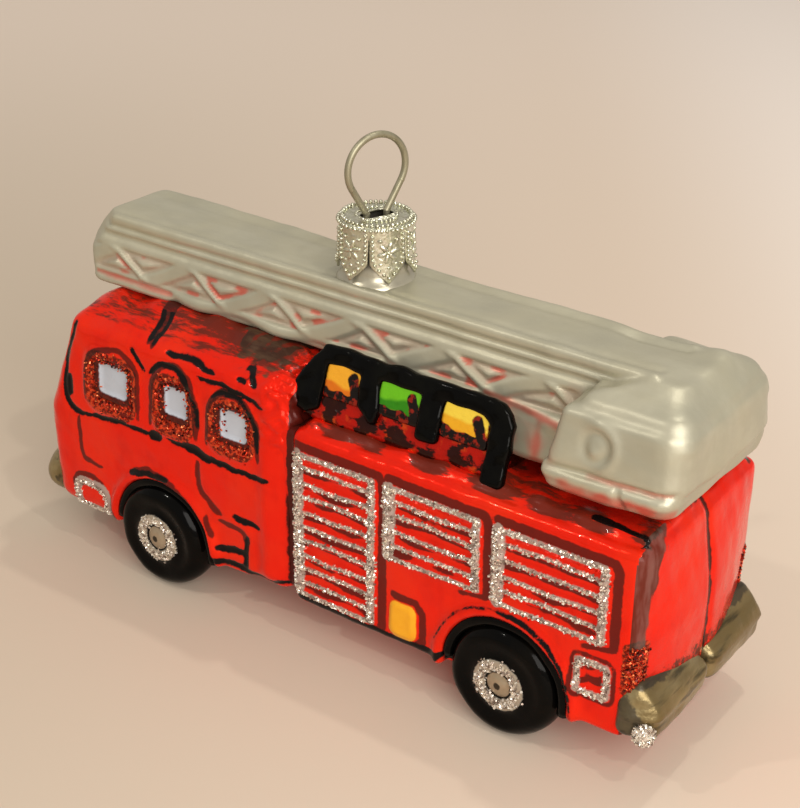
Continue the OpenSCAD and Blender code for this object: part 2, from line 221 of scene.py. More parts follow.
class Finish:
    """A finish built up coat by coat, each coat kept to its painted mark."""

    def __init__(self, name, colour, metal, rough, gloss, sheen=0.5):
        self.material = bpy.data.materials.new(name)
        self.material.use_nodes = True
        self.nodes = self.material.node_tree.nodes
        self.links = self.material.node_tree.links
        self.shader = self.nodes["Principled BSDF"]
        self.shader.inputs["Coat Weight"].default_value = gloss
        self.shader.inputs["Specular IOR Level"].default_value = sheen
        self.shader.inputs["Coat Roughness"].default_value = 0.04
        self.place = self.nodes.new("ShaderNodeTexCoord").outputs["Object"]
        self.colour = self.value(colour)
        self.metal, self.rough = metal, rough

    def value(self, amount):
        if isinstance(amount, tuple):
            node = self.nodes.new("ShaderNodeRGB")
            node.outputs[0].default_value = (*amount, 1)
        else:
            node = self.nodes.new("ShaderNodeValue")
            node.outputs[0].default_value = amount
        return node.outputs[0]

    def speckle(self, size, detail=3.0, stretch=(1, 1, 1), roughness=0.55):
        """Noise with features of about this size in millimetres, 0 to 1."""
        turn = self.nodes.new("ShaderNodeMapping")
        turn.inputs["Scale"].default_value = stretch
        noise = self.nodes.new("ShaderNodeTexNoise")
        noise.inputs["Scale"].default_value = 1000 / size
        noise.inputs["Detail"].default_value = detail
        noise.inputs["Roughness"].default_value = roughness
        self.links.new(self.place, turn.inputs["Vector"])
        self.links.new(turn.outputs["Vector"], noise.inputs["Vector"])
        return noise.outputs["Fac"]

    def along(self, axis):
        """Where a point lies along X, Y or Z, in millimetres."""
        split = self.nodes.new("ShaderNodeSeparateXYZ")
        self.links.new(self.place, split.inputs[0])
        return self.times(split.outputs[axis], 1000.0)

    def maths(self, kind, first, second):
        node = self.nodes.new("ShaderNodeMath")
        node.operation = kind
        for socket, item in zip(node.inputs, (first, second)):
            if isinstance(item, (int, float)):
                socket.default_value = item
            else:
                self.links.new(item, socket)
        return node.outputs[0]

    def times(self, first, second):
        return self.maths("MULTIPLY", first, second)

    def plus(self, first, second):
        return self.maths("ADD", first, second)

    def less(self, first, second):
        return self.maths("SUBTRACT", first, second)

    def band(self, source, low, high):
        """0 below low, 1 above high, and a smooth step between."""
        node = self.nodes.new("ShaderNodeMapRange")
        node.interpolation_type = "SMOOTHSTEP"
        node.inputs["From Min"].default_value = low
        node.inputs["From Max"].default_value = high
        self.links.new(source, node.inputs["Value"])
        return node.outputs["Result"]

    def marked(self, name):
        node = self.nodes.new("ShaderNodeAttribute")
        node.attribute_name = name
        return node.outputs["Fac"]

    def blend(self, kind, factor, first, second):
        node = self.nodes.new("ShaderNodeMix")
        node.data_type = kind
        want = "RGBA" if kind == "RGBA" else "VALUE"
        ports = [s for s in node.inputs if s.type == want]
        if kind == "FLOAT":
            ports = ports[-2:]
        self.links.new(factor, node.inputs[0])
        self.links.new(first, ports[0])
        self.links.new(second, ports[1])
        return [s for s in node.outputs if s.type == want][0]

    def mottle(self, dark, light, size, detail=3.0, grain=(1, 1, 1), edge=None):
        """A colour that wanders between two, with edge as the noise's dark and light ends."""
        mask = self.speckle(size, detail, grain)
        if edge:
            mask = self.band(mask, *edge)
        return self.blend("RGBA", mask, self.value(dark), self.value(light))

    def lay(self, mask, colour, metal, rough):
        """One more coat over the ones below, where the mask is 1."""
        if isinstance(colour, tuple):
            colour = self.value(colour)
        self.colour = self.blend("RGBA", mask, self.colour, colour)
        self.metal = self.shift(mask, self.metal, metal)
        self.rough = self.shift(mask, self.rough, rough)

    def shift(self, mask, before, after):
        """An amount that goes from one value to another over the mask."""
        if before == after:
            return before
        both = [self.value(item) if isinstance(item, float) else item for item in (before, after)]
        return self.blend("FLOAT", mask, *both)

    def stroke(self, name, colour, metal, rough, ragged=0.3, size=0.9, soft=0.12, cover=1.0, grain=(1, 1, 1)):
        """A painted mark whose edge wanders by the ragged amount."""
        wander = self.times(self.less(self.speckle(size, 4, grain), 0.5), 2 * ragged)
        mask = self.band(self.plus(self.marked(name), wander), -soft, soft)
        self.lay(self.times(mask, cover), colour, metal, rough)

    def tint(self, size, colour, share, stretch=(1, 1, 1), low=0.4, high=0.7):
        """A share of another colour, in clouds of about this size."""
        mask = self.band(self.speckle(size, 4, stretch), low, high)
        self.colour = self.blend("RGBA", self.times(mask, share), self.colour, self.value(colour))

    def finish(self, bumps):
        """Bumps are (height source, depth in millimetres)."""
        self.links.new(self.colour, self.shader.inputs["Base Color"])
        for name, amount in (("Metallic", self.metal), ("Roughness", self.rough)):
            if isinstance(amount, float):
                self.shader.inputs[name].default_value = amount
            else:
                self.links.new(amount, self.shader.inputs[name])
        last = None
        for height, depth in bumps:
            bump = self.nodes.new("ShaderNodeBump")
            bump.inputs["Distance"].default_value = depth * MM
            self.links.new(height, bump.inputs["Height"])
            if last is not None:
                self.links.new(last, bump.inputs["Normal"])
            last = bump.outputs["Normal"]
        if last is not None:
            self.links.new(last, self.shader.inputs["Normal"])
        return self.material


def dress(piece, material, body="glass", node="glass_body"):
    piece.data.materials.append(material)
    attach(piece, body)
    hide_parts(node)


blocks = bmesh.new()
pillow(blocks, [
    (BODY_FOOT + 2.6, CAB_FACE + 0.4, SEAM, HALF_WIDTH),
    (23.0, CAB_FACE, SEAM, HALF_WIDTH + 0.1),
    (ROOF - 6.4, CAB_FACE + 4.6, SEAM, HALF_WIDTH - 0.9),
    (ROOF - 3.6, CAB_FACE + 7.2, SEAM - 1.2, HALF_WIDTH - 6),
], 2.6, 3.6, 2.6)
cab = blown("cab", blocks, 0.36, 8)

PANES = [(-39.9, -34.2, 29.0, 33.9), (-26.7, -22.2, 29.6, 34.0), (-15.9, -11.1, 29.3, 33.7)]
SURROUNDS = [(-42.8, -31.4, 25.7, 36.2), (-29.1, -20.0, 26.0, 36.4), (-18.2, -8.8, 26.4, 36.0)]
HEADLAMP = (-46.2, -38.6, 7.4, 13.2)
WINDSCREENS = [(-11.6, -1.2, 26.4, 35.6), (1.2, 11.6, 26.4, 35.6)]

spots, out = surface(cab)
x, y, z = spots.T
flank = ramp(np.abs(out[:, 1]), 0.35, 0.75)
front = ramp(-out[:, 0], 0.45, 0.8)
roof = ramp(out[:, 2], 0.35, 0.8)

window = np.min([frame_distance(x, z, s, 3.0) for s in SURROUNDS], axis=0)
pane = np.min([frame_distance(x, z, s, 0.7) for s in PANES], axis=0)
lamp = frame_distance(x, z, HEADLAMP, 2.2)
screen = np.min([frame_distance(y, z, s, 2.0) for s in WINDSCREENS], axis=0)
hub = np.hypot(x - FRONT_AXLE, z - WHEEL_RADIUS)
lip = np.where(z > 6, hub, 99)

door_line = [(-20.1, 23.8), (-20.3, 20.3), (-19.2, 18.5), (-15.6, 16.6)]
cab_black = [
    (0.55, [(-44.8, 38.6), (-46.6, 33.5), (-47.2, 28.4), (-46.2, 25.0), (-43.4, 24.3)]),
    (0.55, [(-46.0, 30.0), (-45.9, 27.0)]),
    (0.4, [(-43.8, 24.4), (-38.3, 25.3), (-32.1, 25.8), (-29.6, 25.4)]),
    (0.75, [(-29.2, 25.3), (-27.4, 25.7)]),
    (0.5, [(-25.9, 25.7), (-21.2, 25.8), (-18.4, 25.2), (-13.7, 25.0), (-6.5, 25.1)]),
    (0.75, [(-22.4, 25.9), (-17.8, 25.1)]),
    (0.38, [(-33.1, 38.0), (-31.5, 36.2), (-30.4, 34.8)]),
    (0.40, [(-26.6, 39.0), (-22.6, 38.9), (-19.7, 38.7), (-17.2, 38.1)]),
    (0.50, [(-29.4, 35.0), (-28.0, 36.9), (-25.2, 37.3), (-22.7, 36.4), (-21.6, 34.2)]),
    (0.30, [(-21.8, 34.4), (-20.1, 32.6), (-19.8, 29.2)]),
    (0.36, [(-17.4, 35.1), (-14.6, 36.3), (-12.0, 36.1), (-10.1, 34.7), (-9.1, 32.6), (-8.9, 28.8)]),
    (0.36, [(-20.4, 37.2), (-17.0, 36.9), (-13.2, 37.1), (-9.9, 36.5), (-8.0, 35.7)]),
    (0.4, [(-12.8, 40.2), (-11.1, 39.5), (-9.6, 38.4)]),
    (0.32, [(-13.1, 38.7), (-11.6, 38.5)]),
    (0.46, [(-13.3, 17.4), (-10.8, 17.2), (-8.5, 16.8)]),
    (0.55, [(-16.6, 11.0), (-14.1, 11.1), (-11.6, 11.5)]),
    (0.55, [(-10.9, 14.4), (-11.3, 11.5), (-11.6, 8.9)]),
    (0.5, [(-18.4, 9.0), (-12.0, 8.8), (-8.0, 8.2), (-4.0, 9.0)]),
    (0.45, [(-34.2, 17.6), (-31.2, 18.4), (-28.4, 19.2), (-25.8, 19.0)]),
]
cab_brown = [
    (0.40, [(-42.6, 27.0), (-42.4, 32.5), (-40.5, 35.6), (-37.0, 36.7), (-33.4, 36.3),
            (-31.5, 33.8), (-31.6, 27.0)]),
    (0.55, [(-29.2, 27.0), (-29.0, 34.2), (-26.8, 37.2), (-23.6, 37.4), (-21.2, 35.2),
            (-20.0, 31.6), (-20.0, 27.0)]),
    (0.5, [(-18.1, 27.4), (-17.9, 34.2), (-15.4, 36.3), (-11.2, 36.0), (-9.0, 33.4), (-8.8, 27.4)]),
    (0.45, [(-44.2, 24.0), (-44.1, 19.4), (-43.8, 17.0), (-42.4, 16.6), (-40.0, 16.3)]),
    (0.55, door_line),
    (0.4, [(-18.5, 15.6), (-17.2, 12.7)]),
    (0.5, [(-16.0, 15.6), (-11.3, 15.7), (-11.2, 12.8)]),
    (0.5, [(-46.4, 11.4), (-45.2, 13.6), (-41.0, 13.9), (-38.6, 11.8), (-38.0, 7.6)]),
    (0.5, [(-33.3, 18.1), (-29.7, 19.5), (-25.7, 18.9), (-21.8, 16.9), (-19.4, 13.0), (-18.6, 8.2)]),
]
roof_strap = [
    (0.60, [(-31.9, 44.6), (-30.8, 41.4), (-29.9, 39.4)]),
    (0.42, [(-32.4, 43.6), (-31.5, 41.4), (-30.4, 39.2)]),
    (0.42, [(-31.2, 44.6), (-30.0, 41.4), (-29.4, 38.8)]),
]

hand_x, hand_z = x + 0.16 * waves(spots, 5.0, 9), z + 0.22 * waves(spots, 4.0, 10)
painted = strokes(hand_x, hand_z, cab_black)
raised = flank * (
    0.45 * swell(window + 0.7, 0.7)
    - 0.35 * ramp(-window, 1.2, 2.0)
    + 0.30 * swell(pane - 0.5, 0.45)
    - 0.30 * ramp(-pane, -0.1, 0.4)
    + 0.35 * swell(lamp + 0.5, 0.55)
    + 0.75 * swell(lip - ARCH_EDGE - 0.5, 0.8)
    - 0.9 * ramp(ARCH_EDGE - lip, 0.0, 0.6)
    - 0.30 * swell(painted - 0.6, 0.5)
    - 0.25 * swell(line_distance(x, z, door_line), 0.6)
    + 0.40 * swell(line_distance(x, z, [(-8.0, 42.0), (-7.4, 30.0), (-7.2, 10.0)]), 1.3)
)
raised += flank * 0.35 * swell(frame_distance(x, z, (-17.5, -10.5, 8.0, 16.5), 2.0), 0.9)
raised += front * (0.5 * swell(screen + 0.3, 0.6) - 0.35 * ramp(-screen, 0.6, 1.2))
grille = (-7.5, 7.5, 14.0, 21.5)
ribs = swell((z - 16.0) % 2.2 - 1.1, 0.5) * ramp(-frame_distance(y, z, (-7, 7, 14.5, 21), 1.2), 0, 0.6)
raised += front * (0.5 * swell(frame_distance(y, z, grille, 1.5), 0.6))
raised += front * 0.35 * ribs
raised += roof * 0.55 * waves(spots, 7.0, 3) * ramp(z, 38, 42)
raised += 0.13 * waves(spots, 11.0, 5) + 0.05 * waves(spots, 3.6, 6)
raised += 0.42 * waves(spots, 2.2, 7) * ramp(x, -9.0, -6.5) * ramp(z, 28, 34)
settle(cab, spots + out * raised[:, None])

side = flank > 0.3
over_edge = side | ((z > 36) & (flank > 0.02))
roof_smear = [(-31, 44.2), (-18, 43.0), (-9, 42.0)]
roof_patch = [(-15.5, 42.0), (-11.5, 41.5), (-8.5, 41.6)]
facing = front > 0.4
marks(
    cab,
    black=only(over_edge, np.maximum(painted, strokes(hand_x, hand_z, roof_strap[1:]) - 0.05)),
    brown=only(over_edge | (z > 38), np.maximum(strokes(hand_x, hand_z, cab_brown), strokes(x, z, roof_strap))),
    pane=np.maximum(only(side, -pane), only(facing, -1.6 - screen)),
    paneline=np.maximum(only(side, 0.95 - pane), only(facing, -1.0 - screen)),
    amber=np.maximum(only(side, -0.3 - window), only(facing, -0.1 - screen)),
    silver=only(side, 0.75 - np.abs(lamp + 0.6)),
    liner=only(side, ARCH_LINER - lip),
    drybrush=ramp(z, 38, 40) * np.clip(0.75 * ramp(14.6 - np.abs(y), -0.5, 3.0)
                                       + 0.7 * swell(line_distance(x, z, roof_smear), 1.8), 0, 1.2),
    patch=ramp(z, 37, 38) * 2.2 - 1.1 - line_distance(x, z, roof_patch) + 0.9 * waves(spots, 2.4, 8),
    seamline=only(np.abs(x - SEAM) < 3, 0.85 - np.abs(x - SEAM - 0.1)),
)

RED = (0.87, 0.018, 0.005)


def red_lacquer(name, brushwork, grain=(0.25, 1, 1), smoke=(0.070, 0.044, 0.024)):
    """Clear red lacquer over the silvered glass, with brown and black brushwork; on the box the same brown and
    black also serve as painted shadow.
    """
    coat = Finish(name, RED, 0.45, 0.17, 0.08, 0.12)
    coat.tint(9.0, (0.91, 0.036, 0.009), 0.55)
    coat.tint(3.0, (0.58, 0.008, 0.004), 0.35, (1, 1, 0.6), 0.5, 0.75)
    if "drybrush" in brushwork:
        streaks = coat.speckle(1.3, 5, (0.22, 1.0, 1.0), 0.72)
        dry = coat.band(coat.plus(coat.times(coat.marked("drybrush"), 0.34), streaks), 0.70, 0.86)
        coat.lay(coat.times(dry, 0.88), (0.042, 0.014, 0.007), 0.0, 0.34)
    if "amber" in brushwork:
        fleck = coat.mottle((0.14, 0.010, 0.004), (0.60, 0.05, 0.012), 0.55, 2, edge=(0.42, 0.62))
        coat.stroke("amber", fleck, 0.2, 0.42, 0.35, 0.8)
    if "patch" in brushwork:
        murk = coat.mottle((0.028, 0.016, 0.009), smoke, 1.6, 3, grain, (0.42, 0.66))
        coat.stroke("patch", murk, 0.0, 0.30, 2.1, 1.6, soft=0.4, cover=0.88, grain=grain)
    # Brown: brush outlines on the cab, and painted shadow and a painted reflection on the box.
    coat.stroke("brown", (0.042, 0.006, 0.004), 0.0, 0.3, 0.28, 1.1, cover=0.88)
    if "paneline" in brushwork:
        coat.stroke("paneline", (0.055, 0.008, 0.005), 0.1, 0.35, 0.3, 0.7, cover=0.9)
    coat.stroke("seamline", (0.020, 0.007, 0.005), 0.1, 0.25, 0.45, 1.6, cover=0.93)
    coat.stroke("silver", (0.44, 0.33, 0.29), 0.5, 0.5, 0.25, 0.5)
    coat.stroke("black", (0.005, 0.003, 0.003), 0.0, 0.18, 0.3, 1.0)
    coat.stroke("liner", (0.002, 0.002, 0.002), 0.0, 0.14, 0.12, 1.5)
    if "pane" in brushwork:
        coat.stroke("pane", (0.50, 0.535, 0.61), 0.1, 0.45, 0.18, 0.7)
    if "plate" in brushwork:
        gold = coat.mottle((0.88, 0.36, 0.015), (0.98, 0.50, 0.03), 1.6)
        coat.stroke("plate", gold, 0.25, 0.3, 0.12, 1.2)
    return coat.finish([(coat.speckle(5.0, 2), 0.25), (coat.speckle(1.1, 2), 0.035)])


dress(cab, red_lacquer("red lacquer on the cab", ("drybrush", "amber", "paneline", "pane", "patch")))

# Equipment box: the rear half of the same bubble. Three shutter bays a side
# stand in low relief, each slat picked out by hand. A deep crease parts it
# from the cab, and the glass runs on through the crease.
BOX_TOP = 35.8
TAIL = 51.8
REAR_AXLE = 33.0
blocks = bmesh.new()
pillow(blocks, [
    (BODY_FOOT + 1.5, SEAM + 0.6, TAIL - 0.6, HALF_WIDTH),
    (BOX_TOP - 2.5, SEAM + 0.6, TAIL, HALF_WIDTH - 0.1),
], 1.5)
pillow(blocks, [
    (28.0, SEAM + 1.6, TAIL - 0.4, HALF_WIDTH - 0.9),
    (BOX_TOP - 1.4, SEAM + 1.6, TAIL - 0.6, HALF_WIDTH - 1.9),
], 1.4)
pillow(blocks, [(height, SEAM - 4, SEAM + 5, HALF_WIDTH - 1.0) for height in (9.6, BOX_TOP - 3.0)], 1.6)
box = blown("equipment_box", blocks, 0.36, 6)

BAYS = [(-2.2, 11.8, 8.7, 31.9, 9), (13.3, 28.6, 20.5, 31.9, 4), (30.6, 47.4, 20.1, 31.9, 4)]
TAIL_LAMP = (43.4, 48.6, 12.0, 17.6)
PLATE = (14.4, 18.9, 8.6, 14.2)
MOULD_SEAM = 0.6

spots, out = surface(box)
x, y, z = spots.T
flank = ramp(np.abs(out[:, 1]), 0.35, 0.75)
back = ramp(out[:, 0], 0.35, 0.75)
top = ramp(out[:, 2], 0.4, 0.8)
hub = np.hypot(x - REAR_AXLE, z - WHEEL_RADIUS)
lip = np.where(z > 6, hub, 99)
lamp = frame_distance(x, z, TAIL_LAMP, 0.8)
plate = frame_distance(x, z, PLATE, 1.2)
raised = np.zeros(len(spots))
silver_lines, shade_lines, slat_lines = [], [], []
shade = silver = np.full(len(spots), float(UNPAINTED))
brush = waves(spots, 5.0, 17)
for left, right, low, high, slats in BAYS:
    bay = frame_distance(x, z, (left, right, low, high), 0.9)
    raised += flank * (0.30 * swell(bay + 0.6, 0.6) - 0.25 * ramp(-bay, 1.0, 1.6))
    # Painted shadow: a brown line just above each bay and down its right side, and a short one under its lower
    # right corner.
    shade_lines += [
        (0.72, [(left + 0.6, high + 0.8), (right + 0.6, high + 0.65), (right + 1.2, high - 0.6),
                (right + 1.25, low + 0.3)]),
        (0.35, [(right + 1.2, low + 3), (right + 1.1, low - 0.2), (right - 3, low - 0.9)]),
    ]
    silver = np.maximum(silver, only(bay < 0.4, 0.40 - np.abs(bay + 0.4)))
    silver_lines += [
        (0.62, [(right - 0.6, low + 0.5), (right - 0.6, high - 0.6)]),
        (0.95, [(left + 0.7, low + 0.6), (left + 0.7, high - 0.6)]),
    ]
    pitch = (high - low) / (slats + 1)
    for row in range(1, slats + 1):
        level = low + row * pitch
        tilt = 0.35 * math.sin(2.4 * row + left)
        path = [(left + 1, level), ((left + right) / 2, level + tilt), (right - 0.7, level - 0.2 * tilt)]
        slat_lines.append(path)
        raised += flank * 0.42 * swell(line_distance(x, z, path), 0.62)
        # Painted shade: a brown line of uneven width under each slat.
        below = [(along, up - 0.85) for along, up in path]
        shade = np.maximum(shade, only(bay < -0.4, 0.30 + 0.34 * brush - line_distance(x, z, below)))
silver_lines += [(0.30, path) for path in slat_lines]
raised += flank * (
    0.35 * swell(lamp + 0.5, 0.55)
    + 0.55 * ramp(-plate, -0.3, 0.7)
    + 0.75 * swell(lip - ARCH_EDGE - 0.6, 0.9)
    - 0.9 * ramp(ARCH_EDGE - lip, 0.0, 0.6)
    + 0.25 * ramp(8.9 - z, 0, 1.0)
)
bulge = 2.3 * np.clip(1 - (y / 15.5) ** 2, 0, 1) * ramp(37.5 - z, 0, 17) * ramp(z, 5, 10)
raised += back * (bulge - 0.35 * swell(y - MOULD_SEAM, 0.7))
raised += 0.12 * waves(spots, 12.0, 11) + 0.05 * waves(spots, 4.0, 12)
raised += top * ramp(15 - np.abs(y), 0, 1.5) * 0.3 * waves(spots, 5.0, 13)
settle(box, spots + out * raised[:, None])

side = flank > 0.3
box_black = [
    (0.55, [(-2.6, 8.4), (8.0, 7.9), (21.5, 8.1), (23.5, 9.0)]),
    (0.32, [(31.5, 19.4), (35.8, 19.2), (39.6, 17.3), (42.3, 13.6), (43.6, 8.0)]),
    (0.12, [(22.0, 11.0), (24.0, 15.2), (27.0, 18.2), (31.5, 19.5)]),
]
# Painted shadow: a brown line along the top and down the right side of the raised yellow plate.
shade_lines.append((0.6, [(15.0, 15.0), (18.6, 14.9), (19.9, 13.4), (19.9, 9.2), (18.8, 8.2)]))
# A brown outline round the tail lamp, and ragged dark patches inside it that are a painted reflection.
lamp_outline_and_reflection = np.maximum(0.3 - np.abs(lamp - 0.45), only(lamp < -1.0, 0.5 * waves(spots, 2.0, 16)))
# Painted shadow: a black streak on the deck under the basket's overhang.
shadow_under_basket = 0.8 - line_distance(x, np.abs(y), [(43.5, 12.9), (47.0, 13.2), (50.2, 13.5)])
deck = top * ramp(15.2 - np.abs(y), 0, 1.0) * ramp(z, 33, 35)
# The deck's dry-brushing is heavier along the strip just outside the rack's foot; under the basket this is painted
# shade.
deck *= 1 + 0.7 * swell(np.abs(y) - 13.4, 1.2)
foot = back * ramp(17.5 - z, 0, 3.0)
heel = ramp(x, 49.6, 50.8) * ramp(13.0 - z, 0, 1.6)
behind = out[:, 0] > 0.35
brushed = -14.5 + 5.4 * np.clip((z - 21.5) / 15, 0, 1.1) ** 1.6 - y
brushed = np.minimum(np.minimum(brushed, 36.6 - z), z - 19.5)
seamline = np.maximum(0.85 - np.abs(x - SEAM - 0.1), only(back > 0.4, 0.32 - np.abs(y - MOULD_SEAM)))
corner_lines = only(side & (x > 45), 1.05 - line_distance(x, z, [(51.0, 14.6), (51.0, 21.0)]))
tail_lines = only(behind, 1.5 - line_distance(np.abs(y), z, [(14.6, 14.8), (14.7, 20.8)]))
marks(
    box,
    # On the box the brown coat is mostly painted shadow, beside the bays, slats and plate, with a painted
    # reflection in the tail lamp.
    brown=only(side, np.max([shade, strips(x, z, shade_lines), lamp_outline_and_reflection], axis=0)),
    # The black coat is brush strokes on the sides, and on the deck the painted shadow under the basket.
    black=np.where(side, strokes(x, z, box_black), only(top > 0.3, shadow_under_basket)),
    silver=only(side, np.max([silver, strips(x, z, silver_lines), 0.5 - np.abs(lamp + 0.45)], axis=0)),
    plate=only(side, -plate),
    liner=only(side, ARCH_LINER - lip),
    drybrush=np.clip(deck * (0.75 + 0.45 * waves(spots, 7.0, 14)) + 0.95 * foot + 0.8 * heel, 0, 1.3),
    patch=only(behind, brushed + 1.3 * waves(spots, 2.2, 15) * ramp(z, 22, 30)),
    amber=np.maximum(corner_lines, tail_lines),
    seamline=only((x < 0) | (back > 0.4), seamline),
)
dress(box, red_lacquer("red lacquer on the box", ("drybrush", "plate", "amber", "patch"),
                       (1, 1, 0.25), (0.105, 0.066, 0.055)))

# Ladder and rescue basket: one silver form along the roof. The sides carry a
# zigzag of crossed bars, and red from the body runs into the hollows between
# them. It is painted in satin pearl silver over the silvered glass.
LADDER_TIP = -50.3
LADDER_END = 47.4
section = [
    (0.0, 53.0), (4.3, 52.9), (5.2, 52.8), (5.8, 52.2), (5.7, 51.5), (5.9, 51.0), (5.9, 50.6), (5.7, 50.2),
    (6.0, 49.5), (6.3, 49.0), (6.4, 48.5), (7.2, 44.6), (7.5, 44.0), (7.2, 43.0), (5.0, 42.2), (0.0, 41.5),
]
bar = bmesh.new()
outline = [Vector((LADDER_TIP - 1, side * across, height)) * MM
           for side, run in ((1, section), (-1, section[-2:0:-1])) for across, height in run]
face = bar.faces.new([bar.verts.new(point) for point in outline])
grown = bmesh.ops.extrude_face_region(bar, geom=[face])
bmesh.ops.translate(bar, verts=verts_of(grown["geom"]), vec=Vector((LADDER_END - LADDER_TIP + 1, 0, 0)) * MM)
TIP_CUTS = [
    ((-50.5, 0, 48.0), (-1, 0, 0.12)), ((-49.4, 0, 44.6), (-0.75, 0, -0.87)), ((-47.9, 0, 51.9), (-1, 0, 0.9)),
    ((-49.3, 0, 50.0), (-1, 0, 0.45)), ((-46.9, 0, 52.9), (-0.3, 0, 1)), ((-49.6, 3.4, 50), (-1, 0.5, 0)),
    ((-50.2, -3.4, 50), (-1, -0.5, 0)), ((-47.7, 5.3, 50), (-1, 1.1, 0.5)),
    ((-49.0, -5.9, 46.5), (-1, -1.1, 0)), ((-46.6, -6.0, 49.7), (-1, -1.2, 1.0)),
    ((-45.5, 6.0, 52), (-0.3, 1, 0.3)), ((-45.5, -6.0, 52), (-0.3, -1, 0.3)),
]
for point, slope in TIP_CUTS:
    bmesh.ops.bisect_plane(bar, geom=bar.verts[:] + bar.edges[:] + bar.faces[:], plane_co=Vector(point) * MM,
                           plane_no=Vector(slope), clear_outer=True)
    bmesh.ops.holes_fill(bar, edges=[edge for edge in bar.edges if edge.is_boundary])
bmesh.ops.recalc_face_normals(bar, faces=bar.faces[:])
blocks = bmesh.new()
add_to(blocks, bar)
pillow(blocks, [(39.0, 1.0, 46.0, 9.2), (43.5, 1.0, 46.0, 7.6)], 1.2)
pillow(blocks, [(39.3, 35.6, 53.4, 13.5), (40.8, 35.2, 53.8, 13.9)], 1.2, 1.2, 3.2)
pillow(blocks, [(42.6, 36.0, 54.6, 13.7), (48.2, 36.9, 54.3, 12.7)], 1.2, 1.2, 4.0)
pillow(blocks, [(47.3, 37.2, 54.4, 12.6), (49.2, 38.4, 53.6, 11.6), (51.0, 44.0, 51.6, 7.6)], 1.9, 1.9, 3.4)
ladder = blown("ladder_and_basket", blocks, 0.34, 7)

spots, out = surface(ladder)
x, y, z = spots.T
aside = np.abs(y)
flank = ramp(np.abs(out[:, 1]), 0.4, 0.8)
PANEL_TOP, PANEL_FOOT = 48.5, 44.6
FIRST_BAR, BAR_PITCH, BAR_RUN = -43.9, 15.2, 6.6
zig, zag = [], []
for turn in range(-1, 6):
    head = FIRST_BAR + turn * BAR_PITCH
    zig.append([(head - 1.2, PANEL_TOP + 0.7), (head + BAR_RUN, PANEL_FOOT)])
    zag.append([(head + BAR_RUN, PANEL_FOOT), (head + BAR_PITCH, PANEL_TOP)])
on_bar = ramp(x, -48.5, -46.5) * ramp(36.5 - x, 0, 1.5) * flank * ramp(11 - aside, 0, 1.5)
sway = 0.35 * waves(spots, 9.0, 23)
sharp = np.min([line_distance(x, z + sway, path) for path in zig], axis=0) - 0.15
broad = np.min([line_distance(x, z + sway, path) for path in zag], axis=0) - 0.85
rim = np.minimum(np.abs(z - PANEL_TOP - 0.3) - 0.2, np.abs(z - PANEL_FOOT + 0.5) - 0.3)
lattice = np.minimum(np.minimum(sharp, broad), rim)
inside = ramp(z, PANEL_FOOT - 0.5, PANEL_FOOT + 0.4) * ramp(PANEL_TOP + 0.2 - z, 0, 0.6)
pits = ramp(lattice, -0.1, 0.65) * inside
lens = ramp(lattice, 0.55, 1.6) * inside
raised = on_bar * (0.30 * swell(sharp - 0.05, 0.45) * inside - 0.50 * pits + 0.66 * lens)
under_tip = ramp(x, -48.5, -46) * ramp(-31 - x, 0, 2)
raised += flank * under_tip * (0.6 * swell(z - 42.8, 0.8) - 0.6 * swell(z - 44.1, 0.35))
ripple = np.sin((x - FIRST_BAR) * 2 * math.pi / BAR_PITCH + 0.9)
raised += on_bar * ramp(x, -34, -30) * 0.45 * ripple * swell(z - 43.4, 1.0)

rail = ramp(x, -48.0, -45.0) * ramp(47.0 - x, 0, 1.5) * ramp(aside, 3.6, 4.4)
rail = rail * ramp(8.6 - aside, 0, 1) * ramp(z, 48.5, 49.5)
raised += rail * (0.42 * swell(np.hypot(aside - 5.3, z - 52.7), 0.75) - 0.30 * swell(z - 51.35, 0.4)
                  + 0.24 * swell(z - 50.75, 0.35) - 0.30 * swell(z - 49.95, 0.5))
rail_edge = ramp(x, -46, -43) * ramp(46.6 - x, 0, 1.0) * ramp(z, 52, 52.6)
raised -= rail_edge * 0.22 * swell(aside - 3.7, 0.55)

BOSS = (42.6, 45.6)
boss = np.hypot(x - BOSS[0], z - BOSS[1])
basket_side = flank * ramp(aside, 11, 12)
basket = ramp(x, 34, 36)
turntable_joint = z - 41.7 - 0.04 * (x - 44)
raised += basket_side * (0.42 * swell(boss - 2.6, 0.7) * ramp(x - BOSS[0] + 0.4 * (z - BOSS[1]), -1.5, 1.5)
                         - 0.34 * swell(boss - 1.7, 0.7) + 0.42 * swell(np.hypot(x - 42.3, z - 44.6), 0.9))
raised += basket * basket_side * (0.22 * swell(z - 40.5, 0.8) - 0.40 * swell(turntable_joint, 0.45))
raised -= basket_side * 0.45 * swell(x - 46.6 + 0.2 * (z - 39), 0.5) * ramp(41.8 - z, 0, 0.8)
raised += ramp(x, 25, 38) * 0.20 * waves(spots, 8.5, 24)
top = ramp(out[:, 2], 0.5, 0.85)
knob, dimple = swell(np.hypot(x - 49.6, y - 6.0), 1.6), swell(np.hypot(x - 50.2, y + 1.5), 1.8)
raised += top * (0.22 * knob - 0.20 * dimple)
raised += 0.09 * waves(spots, 12.0, 21) + 0.04 * waves(spots, 3.2, 22)
spots = spots + out * raised[:, None]
lean = 0.3 + 1.5 * ramp(-spots[:, 0], -4, 34)
spots[:, 1] += lean * ramp(spots[:, 1], 0.5, 5.0) * ramp(36 - spots[:, 0], 0, 6)
settle(ladder, spots)

